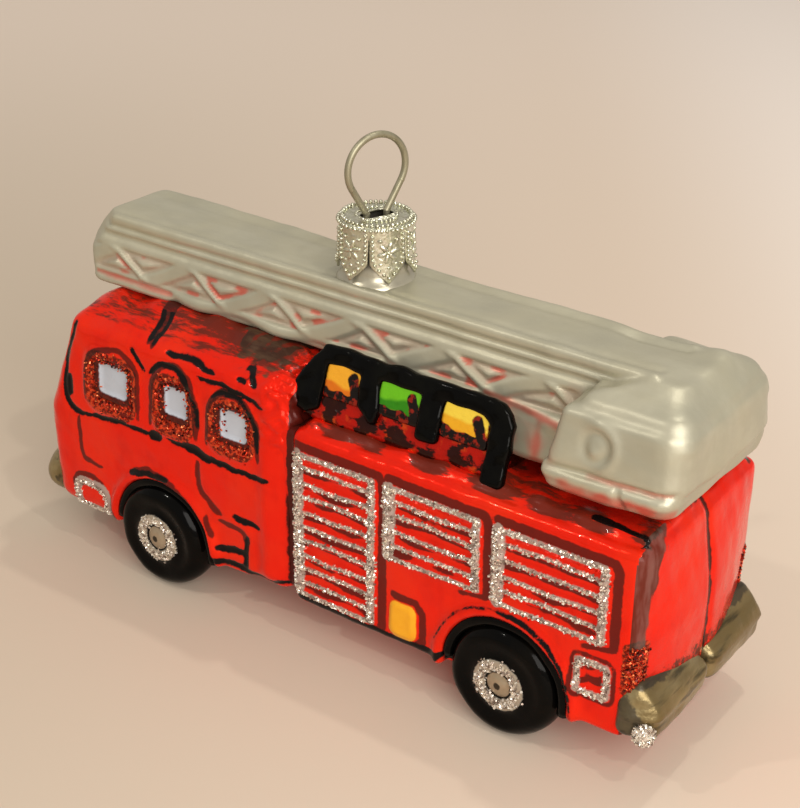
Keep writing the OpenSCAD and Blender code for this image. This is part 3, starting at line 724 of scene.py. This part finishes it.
blot, drip = waves(spots, 13.0, 31), waves(spots, 3.4, 34)
bleed = on_bar * ramp(x, -46.5, -43.5) * 1.1 * ramp(pits - lens, 0.15, 0.9)
bleed *= ramp(drip + 0.3 * blot, -0.35, 0.9)
bleed += flank * 0.95 * swell(line_distance(x, z, [(23.0, 44.8), (35.0, 43.5)]), 0.6)
bleed += flank * 0.4 * swell(line_distance(x, z, [(31.6, 43.0), (31.9, 39.5)]), 0.6)
chin = flank * swell(line_distance(x, z, [(-47, 44.1), (-32, 43.9)]), 0.5)
# The basket's lower rim: red bleed, and a painted reflection of the red deck below it.
hem_bleed_and_reflection = ramp(41.3 - z, -0.3, 1.7) * basket * ramp(aside, 10.5, 12) * (0.75 + 0.4 * waves(spots, 3.4, 33))
web = ramp(x, 24, 27) * ramp(43.6 - z, 0, 1.0) * ramp(z, 37.6, 38.6) * ramp(36 - x, 0, 1.5)
web *= 0.45 + 0.5 * drip
groove = basket_side * swell(turntable_joint, 0.5) * ramp(x, 40, 43) * 0.75
# Painted shade on the side where the ladder meets the basket, laid with the lattice's pits.
shadow = flank * ramp(x, 34, 35) * ramp(38 - x, 0, 2) * ramp(z, 40, 42) * ramp(50 - z, 0, 2)
marks(
    ladder,
    bleed=np.clip(bleed + chin + hem_bleed_and_reflection + web + groove, 0, 1),
    hollow=np.clip(on_bar * ramp(pits - 0.6 * lens, 0.3, 0.9) + shadow, 0, 1),
)

pearl = Finish("satin pearl silver", (0.48, 0.455, 0.340), 0.50, 0.42, 0.0)
pearl.tint(14.0, (0.40, 0.39, 0.31), 0.6)
pearl.tint(4.0, (0.55, 0.53, 0.42), 0.4, (0.4, 1, 1))
cloud = pearl.speckle(3.2, 4)
# Painted shade: the lattice's pits, and the side where the ladder meets the basket, darkened towards a dusky pink.
pearl.lay(pearl.times(pearl.marked("hollow"), 0.30), (0.46, 0.26, 0.20), 0.5, 0.45)
# Red bleed from the body, which on the basket's lower rim is also a painted reflection of the red deck.
wash = pearl.band(pearl.plus(pearl.marked("bleed"), pearl.times(pearl.less(cloud, 0.5), 0.7)), 0.22, 1.15)
pearl.lay(pearl.times(wash, 0.74), (0.62, 0.045, 0.02), 0.5, 0.32)
dress(ladder, pearl.finish([(pearl.speckle(0.35, 2), 0.010), (pearl.speckle(4.0, 2), 0.12)]))

# Wheels: four round bulges of the same glass, each under its arch's rolled lip.
# The tyre is glossy black lacquer, and the hub a bronze button in a ring of
# silver paint and glitter.
HUB_TO_TREAD = [
    (0.0, 0.42), (0.8, 0.40), (1.4, 0.22), (1.8, -0.10), (2.1, -0.08), (2.4, 0.16), (3.1, 0.28), (3.8, 0.12),
    (4.2, -0.10), (4.8, -0.22), (5.4, -0.16), (6.0, 0.02), (6.6, 0.06), (7.2, -0.16), (7.7, -0.58), (8.1, -1.2),
    (8.35, -2.0), (8.4, -2.8), (8.3, -4.0), (7.9, -5.6), (7.0, -6.4), (0.0, -6.6),
]
WHEEL_FACE = 16.95
TYRES = (-28.3, 32.8)
ARCH_RING, ARCH_ROLL = 9.1, 0.85
HUB_RING = 3.0


def turned(bm, profile, centre, side, angle=2 * math.pi, start=0.0, steps=72, closed=False):
    """A profile of (radius, stand-out) turned about an axle."""
    made = bmesh.new()
    line = [made.verts.new(Vector((radius, side * (WHEEL_FACE + proud), 0)) * MM) for radius, proud in profile]
    edges = [made.edges.new(pair) for pair in zip(line, line[1:])]
    if closed:
        edges.append(made.edges.new((line[-1], line[0])))
    bmesh.ops.rotate(made, verts=line, cent=(0, 0, 0), matrix=Matrix.Rotation(-start, 3, "Y"))
    bmesh.ops.spin(made, geom=line + edges, cent=(0, 0, 0), axis=(0, -1, 0), angle=angle, steps=steps,
                   use_merge=angle == 2 * math.pi)
    bmesh.ops.remove_doubles(made, verts=made.verts[:], dist=1e-6)
    bmesh.ops.holes_fill(made, edges=[edge for edge in made.edges if edge.is_boundary])
    bmesh.ops.recalc_face_normals(made, faces=made.faces[:])
    bmesh.ops.translate(made, verts=made.verts[:], vec=Vector(centre) * MM)
    add_to(bm, made)


tyres = bmesh.new()
ring = [(ARCH_RING + ARCH_ROLL * math.cos(a), -1.3 + 0.8 * math.sin(a))
        for a in np.linspace(0, 2 * math.pi, 12, endpoint=False)]
for axle, arch in zip(TYRES, (FRONT_AXLE, REAR_AXLE)):
    for side in (-1, 1):
        turned(tyres, HUB_TO_TREAD, (axle, 0, WHEEL_RADIUS), side)
        turned(tyres, ring, (arch, 0, WHEEL_RADIUS), side, math.radians(184), math.radians(-8), 40, True)
wheels = shown("wheels", tyres)
spots, out = surface(wheels)
x, y, z = spots.T
hub = np.min([np.hypot(x - axle, z - WHEEL_RADIUS) for axle in TYRES], axis=0)
lumps = 0.10 * waves(spots, 6.0, 41) * ramp(z, 0.0, 2.0)
settle(wheels, spots + out * lumps[:, None])
outer = ramp(np.abs(y), 15.4, 15.9) > 0.5
marks(
    wheels,
    button=only(outer, 1.8 - hub),
    silver=only(outer, 0.8 - np.abs(hub - HUB_RING)),
    socket=only(outer, 0.5 - hub),
)
tyre_black = Finish("black tyre lacquer", (0.0015, 0.0015, 0.0015), 0.0, 0.12, 0.04, 0.06)
tyre_black.tint(5.0, (0.004, 0.003, 0.002), 0.7)
tyre_black.stroke("silver", (0.50, 0.45, 0.38), 0.85, 0.4, 0.25, 0.6)
bronze_button = tyre_black.mottle((0.34, 0.25, 0.16), (0.46, 0.38, 0.28), 1.0)
tyre_black.stroke("button", bronze_button, 0.6, 0.35, 0.12, 0.8)
tyre_black.stroke("socket", (0.04, 0.03, 0.02), 0.2, 0.3, 0.25, 0.7)
dress(wheels, tyre_black.finish([(tyre_black.speckle(3.0, 2), 0.10), (tyre_black.speckle(0.8, 2), 0.015)]))

# Bumpers: a roll in two lengths across the tail and one that wraps the cab's
# corners, brushed in bronze over the glass.
BUMPER_END = 55.35
blocks = bmesh.new()
for side in (-1, 1):
    balls = []
    for across, lift in ((2.0, -0.9), (8.0, 0.3), (13.9, 0.7)):
        balls += [(51.6, side * across, 13.6 + lift, 1.6), (53.7, side * across, 11.9 + lift * 0.5, 1.6),
                  (53.3, side * across, 9.3, 1.7)]
    balls += [(51.0, side * 15.3, height, 1.5) for height in (12.6, 9.7)]
    hull_of(blocks, balls)
pillow(blocks, [(10.2, -55.2, -44.4, 15.6), (11.4, -54.8, -44.8, 15.2)], 2.9, 3.6, 2.9)
bumpers = blown("bumpers", blocks, 0.34, 8)
spots, out = surface(bumpers)
x, y, z = spots.T
raised = 0.10 * waves(spots, 5.0, 51) + 0.12 * waves(spots, 11.0, 52)
ridge = 0.28 * swell(z - 11.0 - 0.03 * np.abs(y), 0.45) - 0.18 * swell(z - 12.3 - 0.05 * np.abs(y), 0.7)
raised += ramp(x, 50, 52) * ramp(np.abs(y), 1.5, 3.0) * ridge
spots += out * raised[:, None]
spots[:, 0] = np.clip(spots[:, 0], -BUMPER_END, BUMPER_END)
settle(bumpers, spots)
middle, over = 0.45 - np.abs(y), (z - 0.08 * np.abs(y) - 13.9) * 0.7
creases = [middle, over, 0.7 * (np.abs(y) - 16.0), 0.3 - np.abs(z - 8.3)]
marks(bumpers, crease=only(x > 40, np.max(creases, axis=0)))
bronze = Finish("bronze brushed on glass", (0.19, 0.136, 0.055), 0.65, 0.28, 0.0)
# Long clouds of lighter brass: the bronze's own tone, and painted highlights.
bronze.tint(6.0, (0.42, 0.34, 0.18), 0.8, (1, 0.3, 1))
bronze.tint(3.2, (0.040, 0.032, 0.013), 0.8, (1.2, 0.22, 1.7), 0.52, 0.64)
bronze.stroke("crease", (0.020, 0.014, 0.008), 0.2, 0.35, 0.5, 1.4, cover=0.82)
dress(bumpers, bronze.finish([(bronze.speckle(2.5, 3), 0.15), (bronze.speckle(0.7, 2, (1, 0.3, 1)), 0.02)]))

# Equipment rack: on each side a panel leans from the deck to the ladder,
# framed in thick black lacquer round three bays of stowed gear.
blocks = bmesh.new()
pillow(blocks, [(36.2, -3.6, 28.2, 12.9), (38.6, -2.4, 27.9, 11.6), (43.0, -1.6, 27.0, 9.8)], 1.0)
panel = blown("rack_panels", blocks, 0.34, 6)

FOOT_ACROSS, FOOT_HEIGHT = 12.75, 35.4
HEAD_ACROSS, HEAD_HEIGHT = 9.35, 45.0


def rack_bar(bm, side, corners, low=0.0, deep=0.55, edge=0.6):
    """A flat bar on the leaning panel, its corners given along and up the panel."""
    balls = []
    for x, height in corners:
        share = (height - FOOT_HEIGHT) / (HEAD_HEIGHT - FOOT_HEIGHT)
        across = FOOT_ACROSS + share * (HEAD_ACROSS - FOOT_ACROSS)
        for stand in (low, deep):
            balls.append((x, side * (across + stand), height + 0.35 * stand, edge))
    hull_of(bm, balls)


BARS = [
    [(-0.8, 43.7), (-0.8, 45.1), (26.0, 43.7), (26.0, 45.0)],
    [(25.4, 43.7), (25.4, 45.0), (27.2, 44.7), (28.5, 43.8), (29.2, 42.3), (27.0, 42.3)],
    [(27.0, 35.4), (29.2, 35.4), (27.0, 42.8), (29.2, 42.8)],
    [(-4.2, 37.0), (-4.6, 39.3), (-2.3, 43.4), (-0.6, 45.0), (-0.9, 37.5), (-2.6, 36.6)],
    [(6.2, 39.4), (8.4, 38.0), (8.8, 39.4), (8.0, 44.0), (6.2, 44.0)],
    [(16.2, 38.2), (18.4, 38.2), (16.2, 44.0), (18.4, 44.0)],
]
blocks = bmesh.new()
for side in (-1, 1):
    for corners in BARS:
        rack_bar(blocks, side, corners)
rack = blown("rack_frames", blocks, 0.26, 9)
for piece, seed in ((panel, 61), (rack, 63)):
    spots, out = surface(piece)
    lumps = 0.12 * waves(spots, 3.5, seed) + 0.10 * waves(spots, 8.0, seed + 1)
    settle(piece, spots + out * lumps[:, None])
marks(panel, drybrush=ramp(waves(surface(panel)[0], 5.0, 66), -0.8, 0.9))
dark_red = Finish("red lacquer under the rack", (0.46, 0.010, 0.004), 0.45, 0.12, 0.10, 0.12)
dark_red.tint(2.4, (0.75, 0.12, 0.012), 0.6, (1, 1, 1), 0.52, 0.70)
streaks = dark_red.speckle(2.6, 4, (0.6, 1, 1), 0.65)
smear = dark_red.band(dark_red.plus(streaks, dark_red.times(dark_red.marked("drybrush"), 0.15)), 0.50, 0.58)
dark_red.lay(dark_red.times(smear, 0.97), (0.005, 0.002, 0.001), 0.0, 0.14)
dress(panel, dark_red.finish([(dark_red.speckle(1.6, 3), 0.22)]))
rack_black = Finish("thick black lacquer", (0.0012, 0.0012, 0.0012), 0.0, 0.10, 0.05, 0.06)
rack_black.tint(3.0, (0.003, 0.003, 0.002), 0.8)
dress(rack, rack_black.finish([(rack_black.speckle(1.8, 3), 0.10)]))

# Stowed gear: a soft bundle moulded in each of the rack's bays, one orange, one
# green and one yellow. Each is lacquered in bands that darken towards the
# deck, the darkening a painted shade, with black and deep red worked into its edges.
GEAR_FOOT, GEAR_TOP = 39.3, 43.6
GEAR = [
    ("orange_gear", 2.9, 6.4, (0.90, 0.42, 0.03), (0.50, 0.055, 0.006), (0.72, 0.17, 0.010)),
    ("green_gear", 12.3, 7.4, (0.15, 0.52, 0.015), (0.60, 0.42, 0.020), (0.035, 0.24, 0.008)),
    ("yellow_gear", 22.6, 7.6, (0.92, 0.66, 0.07), (0.72, 0.20, 0.012), (0.85, 0.42, 0.02)),
]
for name, middle, length, bright, deep, shade in GEAR:
    left, right = middle - length / 2, middle + length / 2
    packs = bmesh.new()
    for side in (-1, 1):
        pack = bmesh.new()
        corners = [(end, height) for end in (left + 0.5, right - 0.5) for height in (GEAR_FOOT, GEAR_TOP)]
        rack_bar(pack, side, corners, -0.7, 0.25, 0.5)
        add_to(packs, pack)
    gear = blown(name, packs, 0.3, 3)
    spots = surface(gear)[0]
    x, y, z = spots.T
    rim = 0.35 + frame_distance(x, z, (left, right, GEAR_FOOT - 0.6, GEAR_TOP + 0.8), 1.2)
    smear = 0.8 - line_distance(x, z, [(middle + 0.24 * length, 42.4), (middle + 0.42 * length, 39.8)])
    # Black and deep red round each bundle's edges and along a diagonal smear, and over its foot, where it is
    # painted shade.
    marks(gear, edge=np.max([rim, smear, 40.5 - z + 0.6 * waves(spots, 3.0, 71)], axis=0))
    paint = Finish(name.replace("_", " "), bright, 0.30, 0.14, 0.10, 0.15)
    # Painted shade: each bundle steps down to a darker band and then a deeper one towards the deck, as if lit from
    # above.
    level = paint.plus(paint.along("Z"), paint.times(paint.speckle(4.5, 1.0), 3.2))
    paint.lay(paint.band(level, 43.3, 42.7), shade, 0.3, 0.14)
    paint.lay(paint.band(level, 41.8, 41.3), deep, 0.3, 0.16)
    murk = paint.mottle((0.006, 0.003, 0.002), (0.22, 0.012, 0.004), 1.3, 3, edge=(0.50, 0.60))
    paint.stroke("edge", murk, 0.0, 0.14, 0.3, 1.4)
    dress(gear, paint.finish([(paint.speckle(1.4, 3), 0.12)]))

# Neck: the blown stub that the bubble was cut from, left bare and silvery. It
# flares into the ladder's top, and the cap hides all but its foot.
stub = bmesh.new()
AXIS = 0.01  # a hair off the axis: the spin leaves a small ring there, which is merged
NECK_RADIUS, NECK_BORE, NECK_FOOT, NECK_TOP = 4.5, 3.5, 52.9, 61.2
line = [
    (AXIS, 52.2), (5.6, 52.2), (5.5, NECK_FOOT), (5.2, 53.2), (4.8, 53.6), (NECK_RADIUS, 54.3), (NECK_RADIUS, 60.9),
    (4.2, NECK_TOP), (3.6, 61.15), (NECK_BORE, 60.8), (NECK_BORE, NECK_FOOT), (AXIS, NECK_FOOT),
]
points = [stub.verts.new(Vector((radius, 0, height)) * MM) for radius, height in line]
edges = [stub.edges.new(pair) for pair in zip(points, points[1:])]
bmesh.ops.spin(stub, geom=points + edges, cent=(0, 0, 0), axis=(0, 0, 1), angle=2 * math.pi, steps=64,
               use_merge=True)
bmesh.ops.remove_doubles(stub, verts=stub.verts[:], dist=2e-5)
bmesh.ops.recalc_face_normals(stub, faces=stub.faces[:])
neck = shown("neck", stub)
bare = Finish("bare silvered glass", (0.50, 0.47, 0.37), 0.7, 0.32, 0.1)
bare.tint(3.0, (0.38, 0.355, 0.28), 0.6)
# Painted shadow: the neck goes dark above its foot, where the cap covers it.
bare.lay(bare.band(bare.along("Z"), 54.6, 56.2), (0.07, 0.06, 0.045), 0.3, 0.5)
dress(neck, bare.finish([(bare.speckle(2.0, 2), 0.05)]))

# Glitter: coarse flakes shaken on while the glue lines were wet. Silver marks
# the shutters, lamps and hubs, and orange the windows and the tail corners.
chips_random = random.Random(7)


def flake(bm, at, size, shade, layer):
    turn = Matrix.Rotation(chips_random.uniform(0, 6.28), 4, any_way(chips_random))
    shape = Matrix.Diagonal((size, size * 0.85, size * 0.55, 1))
    made = bmesh.ops.create_cube(bm, size=1, matrix=Matrix.Translation(at) @ turn @ shape)
    for vert in made["verts"]:
        vert[layer] = shade


def sprinkle(name, grounds, glue_lines, size, per_area, material):
    """Flakes along each line of glue, laid on the nearest of the pieces under it.

    A glue line is (flank or tail, width, path), and is laid on both sides."""
    total = bmesh.new()
    total.verts.layers.float.new("shade")
    trees = []
    for ground in grounds:
        source = bmesh.new()
        source.from_mesh(ground.data)
        trees.append(BVHTree.FromBMesh(source))
        source.free()
    for plane, width, path in glue_lines:
        for side in (-1, 1):
            chunk = bmesh.new()
            layer = chunk.verts.layers.float.new("shade")
            for (a, b), (c, d) in zip(path, path[1:]):
                span = math.hypot(c - a, d - b)
                for step in range(max(1, round(span * width * 2 * per_area))):
                    share = chips_random.random()
                    off = width * max(-1.25, min(1.25, chips_random.gauss(0, 0.5)))
                    u = a + share * (c - a) - off * (d - b) / span
                    v = b + share * (d - b) + off * (c - a) / span
                    if plane == "flank":
                        start, way = Vector((u, side * 30, v)), Vector((0, -side, 0))
                    else:
                        start, way = Vector((80, side * u, v)), Vector((-1, 0, 0))
                    hits = [tree.ray_cast(start * MM, way) for tree in trees]
                    hits = [hit for hit in hits if hit[0] is not None]
                    if not hits:
                        continue
                    spot, normal = min(hits, key=lambda hit: hit[3])[:2]
                    grain = size * chips_random.uniform(0.7, 1.3) * MM
                    spot = spot + normal * grain * chips_random.uniform(0.0, 0.45)
                    flake(chunk, spot, grain, chips_random.random(), layer)
            add_to(total, chunk)
    dress(shown(name, total, smooth=False), material)


def glitter_finish(name, colours, rough):
    shine = Finish(name, colours[0], 0.7, rough, 0.0)
    ramp_node = shine.nodes.new("ShaderNodeValToRGB")
    ramp_node.color_ramp.interpolation = "CONSTANT"
    stops = ramp_node.color_ramp.elements
    for place, colour in enumerate(colours):
        share = place / len(colours)
        stop = stops[place] if place < 2 else stops.new(share)
        stop.position = share
        stop.color = (*colour, 1)
    shine.links.new(shine.marked("shade"), ramp_node.inputs["Fac"])
    shine.colour = ramp_node.outputs["Color"]
    return shine.finish([])


silver_lines = []
for left, right, low, high, slats in BAYS:
    silver_lines += [
        ("flank", 0.95, [(left + 0.7, low + 0.3), (left + 0.7, high - 0.3)]),
        ("flank", 0.6, [(right - 0.5, low + 0.3), (right - 0.5, high - 0.3)]),
        ("flank", 0.36, [(left + 0.5, high - 0.4), (right - 0.5, high - 0.35)]),
        ("flank", 0.38, [(left + 0.5, low + 0.4), (right - 0.5, low + 0.4)]),
    ]
silver_lines += [("flank", 0.35, path) for path in slat_lines]
left, right, low, high = TAIL_LAMP
silver_lines.append(("flank", 0.5, [
    (left + 0.5, low + 0.5), (right - 0.5, low + 0.5), (right - 0.5, high - 0.5), (left + 0.5, high - 0.5),
    (left + 0.5, low + 0.5)]))
left, right, low, high = HEADLAMP
silver_lines.append(("flank", 0.55, [
    (left + 0.7, low + 0.8), (left + 0.7, high - 1.6), (left + 2.2, high - 0.6), (right - 2.4, high - 0.8),
    (right - 0.8, high - 2.8), (right - 0.8, low + 0.6), (left + 0.7, low + 0.8)]))
for axle in TYRES:
    silver_lines.append(("flank", 0.85, [
        (axle + HUB_RING * math.cos(turn), WHEEL_RADIUS + HUB_RING * math.sin(turn))
        for turn in np.linspace(0, 2 * math.pi, 17)]))
silver_shine = glitter_finish("silver glitter", [
    (0.84, 0.76, 0.68), (0.62, 0.54, 0.47), (0.98, 0.95, 0.88), (0.30, 0.23, 0.19), (0.80, 0.73, 0.62)], 0.24)
sprinkle("silver_glitter", [box, cab, wheels], silver_lines, 0.28, 11.0, silver_shine)

amber_lines = []
for left, right, low, high in SURROUNDS:
    amber_lines.append(("flank", 1.15, [
        (left + 1.8, low + 1.6), (left + 1.8, high - 2.4), (left + 3.2, high - 1.5), (right - 3.2, high - 1.6),
        (right - 1.8, high - 3.2), (right - 1.8, low + 1.6), (left + 1.8, low + 1.6)]))
amber_lines += [("tail", 1.3, [(14.6, 14.6), (14.7, 21.0)])] * 4
amber_lines += [("flank", 0.8, [(51.0, 14.6), (51.0, 21.2)])] * 4
amber_shine = glitter_finish("orange glitter", [
    (0.66, 0.04, 0.010), (0.22, 0.012, 0.005), (0.85, 0.20, 0.07), (0.06, 0.005, 0.003),
    (0.50, 0.025, 0.008)], 0.32)
sprinkle("orange_glitter", [cab, box], amber_lines, 0.26, 4.2, amber_shine)

DROP, DROP_RADIUS = Vector((53.7, -15.8, 9.4)), 1.35
drop = bmesh.new()
shade_layer = drop.verts.layers.float.new("shade")
bmesh.ops.create_icosphere(drop, subdivisions=3, radius=DROP_RADIUS * MM, matrix=Matrix.Translation(DROP * MM))
for chip in range(420):
    spot = DROP + any_way(chips_random) * chips_random.uniform(1.3, 1.55)
    flake(drop, spot * MM, 0.3 * MM, chips_random.random(), shade_layer)
dress(shown("glitter_drop", drop, smooth=False), silver_shine)

# Cap: a cup drawn from thin sheet and slit into six pointed leaves, with a slot
# in its top for the wire. Beads run round its top and down the edges of each
# leaf, with a small star pressed in the leaf's middle.
CAP_TURN, LEAF_TURN = math.radians(70), math.radians(15)
COLUMNS, TABS = 120, 6
SIXTH = 2 * math.pi / TABS
SHEET = 0.28
CROWN_TOP = 61.55
HOLE_REACH, HOLE_HALF = 1.15, 1.2
SIDE = 5.08
LEAF_TOP, SLIT_TOP, LEAF_TIP = 61.0, 60.3, 53.7
LEAF_ROWS = 17
STAR_HEIGHT, STAR_REACH = 58.0, 0.85


def polar(radius, angle, height):
    return Vector((radius * math.cos(angle), radius * math.sin(angle), height))


def slot_reach(angle):
    """From the cap's middle to the edge of its round-ended slot."""
    along, across = abs(math.cos(angle)), abs(math.sin(angle))
    if along * HOLE_HALF < across * HOLE_REACH:
        return HOLE_HALF / across
    return HOLE_REACH * along + math.sqrt(HOLE_HALF ** 2 - (HOLE_REACH * across) ** 2)


def grow(loop, place):
    """One more ring of sheet, with each of its points placed by its angle."""
    grown = bmesh.ops.extrude_edge_only(crown, edges=loop)["geom"]
    for vert in verts_of(grown):
        place(vert, math.atan2(vert.co.y, vert.co.x))
    return [part for part in grown if isinstance(part, bmesh.types.BMEdge) and part.is_boundary]


def ringed(radius, height):
    def place(vert, angle):
        vert.co = polar(radius, angle, height) * MM
    return place


def pushed(share, height):
    def place(vert, angle):
        vert.co = Vector((vert.co.x, vert.co.y, 0)) * share + Vector((0, 0, height * MM))
    return place


crown = bmesh.new()
rim = []
for column in range(COLUMNS):
    angle = 2 * math.pi * column / COLUMNS
    rim.append(crown.verts.new(polar(slot_reach(angle + LEAF_TURN), angle, CROWN_TOP) * MM))
loop = [crown.edges.new((rim[i], rim[(i + 1) % COLUMNS])) for i in range(COLUMNS)]
for place in (pushed(1.08, 61.82), pushed(1.14, 61.84), pushed(1.10, 61.62), ringed(3.2, CROWN_TOP),
              ringed(4.0, 61.62), ringed(4.5, 61.6), ringed(4.85, 61.45), ringed(5.05, 61.2),
              ringed(SIDE, LEAF_TOP)):
    loop = grow(loop, place)
for row in range(1, LEAF_ROWS + 1):
    share = row / LEAF_ROWS
    loop = grow(loop, ringed(SIDE + 0.40 * share ** 2, LEAF_TOP + share * (LEAF_TIP - LEAF_TOP)))
bmesh.ops.remove_doubles(crown, verts=crown.verts[:], dist=1e-7)
slits = []
for edge in crown.edges:
    first, second = (vert.co for vert in edge.verts)
    if max(first.z, second.z) < SLIT_TOP * MM and abs(first.z - second.z) > 1e-5:
        angle = math.atan2(first.y, first.x) % SIXTH
        if abs(angle - SIXTH / 2) < 0.5 * math.pi / COLUMNS:
            slits.append(edge)
bmesh.ops.split_edges(crown, edges=slits)


def leaf_width(fall):
    """A leaf's share of its sixth of the cap, from the slit's top to the tip."""
    return 0.985 - 0.06 * fall if fall < 0.60 else 0.949 * (1 - ((fall - 0.60) / 0.40) ** 1.15)


moved = {}
for face in crown.faces:
    centre = face.calc_center_median()
    if centre.z > (SLIT_TOP + 0.2) * MM:
        continue
    leaf = round(math.atan2(centre.y, centre.x) / SIXTH)
    for vert in face.verts:
        if vert.co.z < SLIT_TOP * MM:
            moved[vert] = leaf
for vert, leaf in moved.items():
    angle = math.atan2(vert.co.y, vert.co.x) - leaf * SIXTH
    angle = (angle + math.pi) % (2 * math.pi) - math.pi
    fall = max(0.0, min(1.0, (SLIT_TOP - vert.co.z / MM) / (SLIT_TOP - LEAF_TIP)))
    angle = leaf * SIXTH + angle * max(leaf_width(fall), 0.02)
    vert.co = polar(math.hypot(vert.co.x, vert.co.y), angle, vert.co.z)
bmesh.ops.recalc_face_normals(crown, faces=crown.faces[:])
bmesh.ops.solidify(crown, geom=crown.faces[:], thickness=SHEET * MM)


def bead(radius, angle, height, size, stretch=(1, 1, 1), tilt=0.0):
    """A pressed bead on the cap, stretched and tilted to make a ray."""
    turn = Matrix.Rotation(angle, 4, "Z") @ Matrix.Rotation(tilt, 4, "X")
    shape = Matrix.Diagonal((*[size * MM * share for share in stretch], 1))
    at = Matrix.Translation(polar(radius, angle, height) * MM)
    bmesh.ops.create_uvsphere(crown, u_segments=8, v_segments=6, radius=1, matrix=at @ turn @ shape)


for radius, height, size, count in ((4.72, 61.72, 0.30, 42), (5.22, 61.15, 0.30, 44), (2.75, 61.68, 0.26, 26)):
    for step in range(count):
        bead(radius, 2 * math.pi * step / count, height, size)
for leaf in range(TABS):
    middle = leaf * SIXTH
    for side in (-1, 1):
        for step in range(9):
            fall = step / 9
            edge = side * SIXTH / 2 * leaf_width(fall) * 0.84
            bead(5.18 + 0.36 * fall ** 2, middle + edge, SLIT_TOP - fall * 6.0, 0.27)
    bead(5.5, middle, 54.5, 0.30)
    for ray in range(6):
        tilt = math.pi * ray / 3 + 0.26
        turn = STAR_REACH * math.sin(tilt) / 5.2
        bead(5.16, middle + turn, STAR_HEIGHT + STAR_REACH * math.cos(tilt), 0.25, (1.0, 1.5, 3.2), -tilt)
    bead(5.25, middle, STAR_HEIGHT, 0.28)
    for across, height in ((-1.1, 56.4), (1.1, 56.4), (0, 55.9), (-1.2, 59.7), (1.2, 59.7)):
        bead(5.16, middle + across / 5.2, height, 0.26, (1, 1.4, 1))
bmesh.ops.rotate(crown, verts=crown.verts[:], cent=(0, 0, 0),
                 matrix=Matrix.Rotation(CAP_TURN + LEAF_TURN, 3, "Z"))
cap = shown("stamped_cap", crown)
stamped = Finish("bright stamped sheet", (0.66, 0.665, 0.53), 1.0, 0.30, 0.0)
stamped.tint(1.2, (0.46, 0.43, 0.33), 0.7)
stamped.tint(0.5, (0.88, 0.86, 0.80), 0.6, (1, 1, 1), 0.5, 0.7)
cap_metal = stamped.finish([(stamped.speckle(0.9, 2), 0.16), (stamped.speckle(0.35, 2), 0.04)])
dress(cap, cap_metal, "cap", "cap")

# Hanger: a loop of drawn spring wire, with faint marks of the die along it.
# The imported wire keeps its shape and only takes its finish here.
drawn = Finish("drawn spring wire", (0.37, 0.345, 0.245), 0.8, 0.46, 0.0)
drawn.tint(1.5, (0.24, 0.22, 0.14), 0.6, (1, 1, 0.2))
wire_metal = drawn.finish([(drawn.speckle(0.25, 2, (1, 1, 0.15)), 0.012)])
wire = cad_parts["hanger_wire"]
for held in wire.material_slots:
    held.material = wire_metal

# Studio: a pale table, painted darker to the left as a painted shadow and lighter
# far off and to the right as painted light, a broad window light at the tail's
# side, three small lamps above, and a camera.
sheet = bmesh.new()
bmesh.ops.create_grid(sheet, x_segments=1, y_segments=1, size=12.0)
floor = shown("table", sheet)
paper = Finish("pale table", (0.71, 0.59, 0.485), 0.0, 0.7, 0.0, 0.2)
across = paper.plus(paper.times(paper.along("X"), 0.81), paper.times(paper.along("Y"), 0.59))
beyond = paper.plus(paper.times(paper.along("X"), -0.58), paper.times(paper.along("Y"), 0.81))
# Painted shadow: the table darkens towards the left, beside the body.
paper.lay(paper.band(across, 70.0, -110.0), (0.555, 0.47, 0.375), 0.0, 0.7)
# Painted light: the table grows lighter far off, and lightest far to the right.
paper.lay(paper.band(beyond, 60.0, 420.0), (0.88, 0.76, 0.665), 0.0, 0.7)
far_right = paper.times(paper.band(across, 45.0, 140.0), paper.band(beyond, -40.0, 100.0))
paper.lay(far_right, (0.95, 0.87, 0.82), 0.0, 0.7)
floor.data.materials.append(paper.finish([]))

world = bpy.data.worlds.new("room")
bpy.context.scene.world = world
world.use_nodes = True
glow = world.node_tree.nodes["Background"]
glow.inputs["Color"].default_value = (0.80, 0.74, 0.66, 1)
glow.inputs["Strength"].default_value = 0.68


def lamp(name, place, aim, size, power, colour=(1.0, 0.95, 0.86)):
    light = bpy.data.lights.new(name, "AREA")
    light.size = size
    light.energy = power
    light.color = colour
    holder = bpy.data.objects.new(name, light)
    bpy.context.scene.collection.objects.link(holder)
    holder.location = place
    holder.rotation_euler = (Vector(aim) - Vector(place)).to_track_quat("-Z", "Y").to_euler()


lamp("window", (0.40, -0.30, 0.28), (0, 0, 0.02), 0.34, 2.3, (1.0, 0.96, 0.90))
lamp("ceiling lamp", (0.05, 0.14, 0.50), (0, 0, 0.03), 0.018, 0.34)
lamp("near lamp", (-0.20, -0.30, 0.46), (0, 0, 0.03), 0.014, 0.32)
lamp("far lamp", (0.30, -0.10, 0.50), (0, 0, 0.03), 0.014, 0.32)

camera = bpy.data.cameras.new("camera")
camera.lens = 73.69
camera.sensor_width = 36
holder = bpy.data.objects.new("camera", camera)
bpy.context.scene.collection.objects.link(holder)
to_right, upwards = (0.81033, 0.58587, 0.01100), (-0.27544, 0.36425, 0.88964)
backwards = (0.51721, -0.72393, 0.45653)
turned_to = Matrix((to_right, upwards, backwards)).transposed().to_4x4()
holder.matrix_world = Matrix.Translation((0.12479, -0.16870, 0.14061)) @ turned_to
bpy.context.scene.camera = holder
bpy.context.scene.view_settings.view_transform = "Standard"
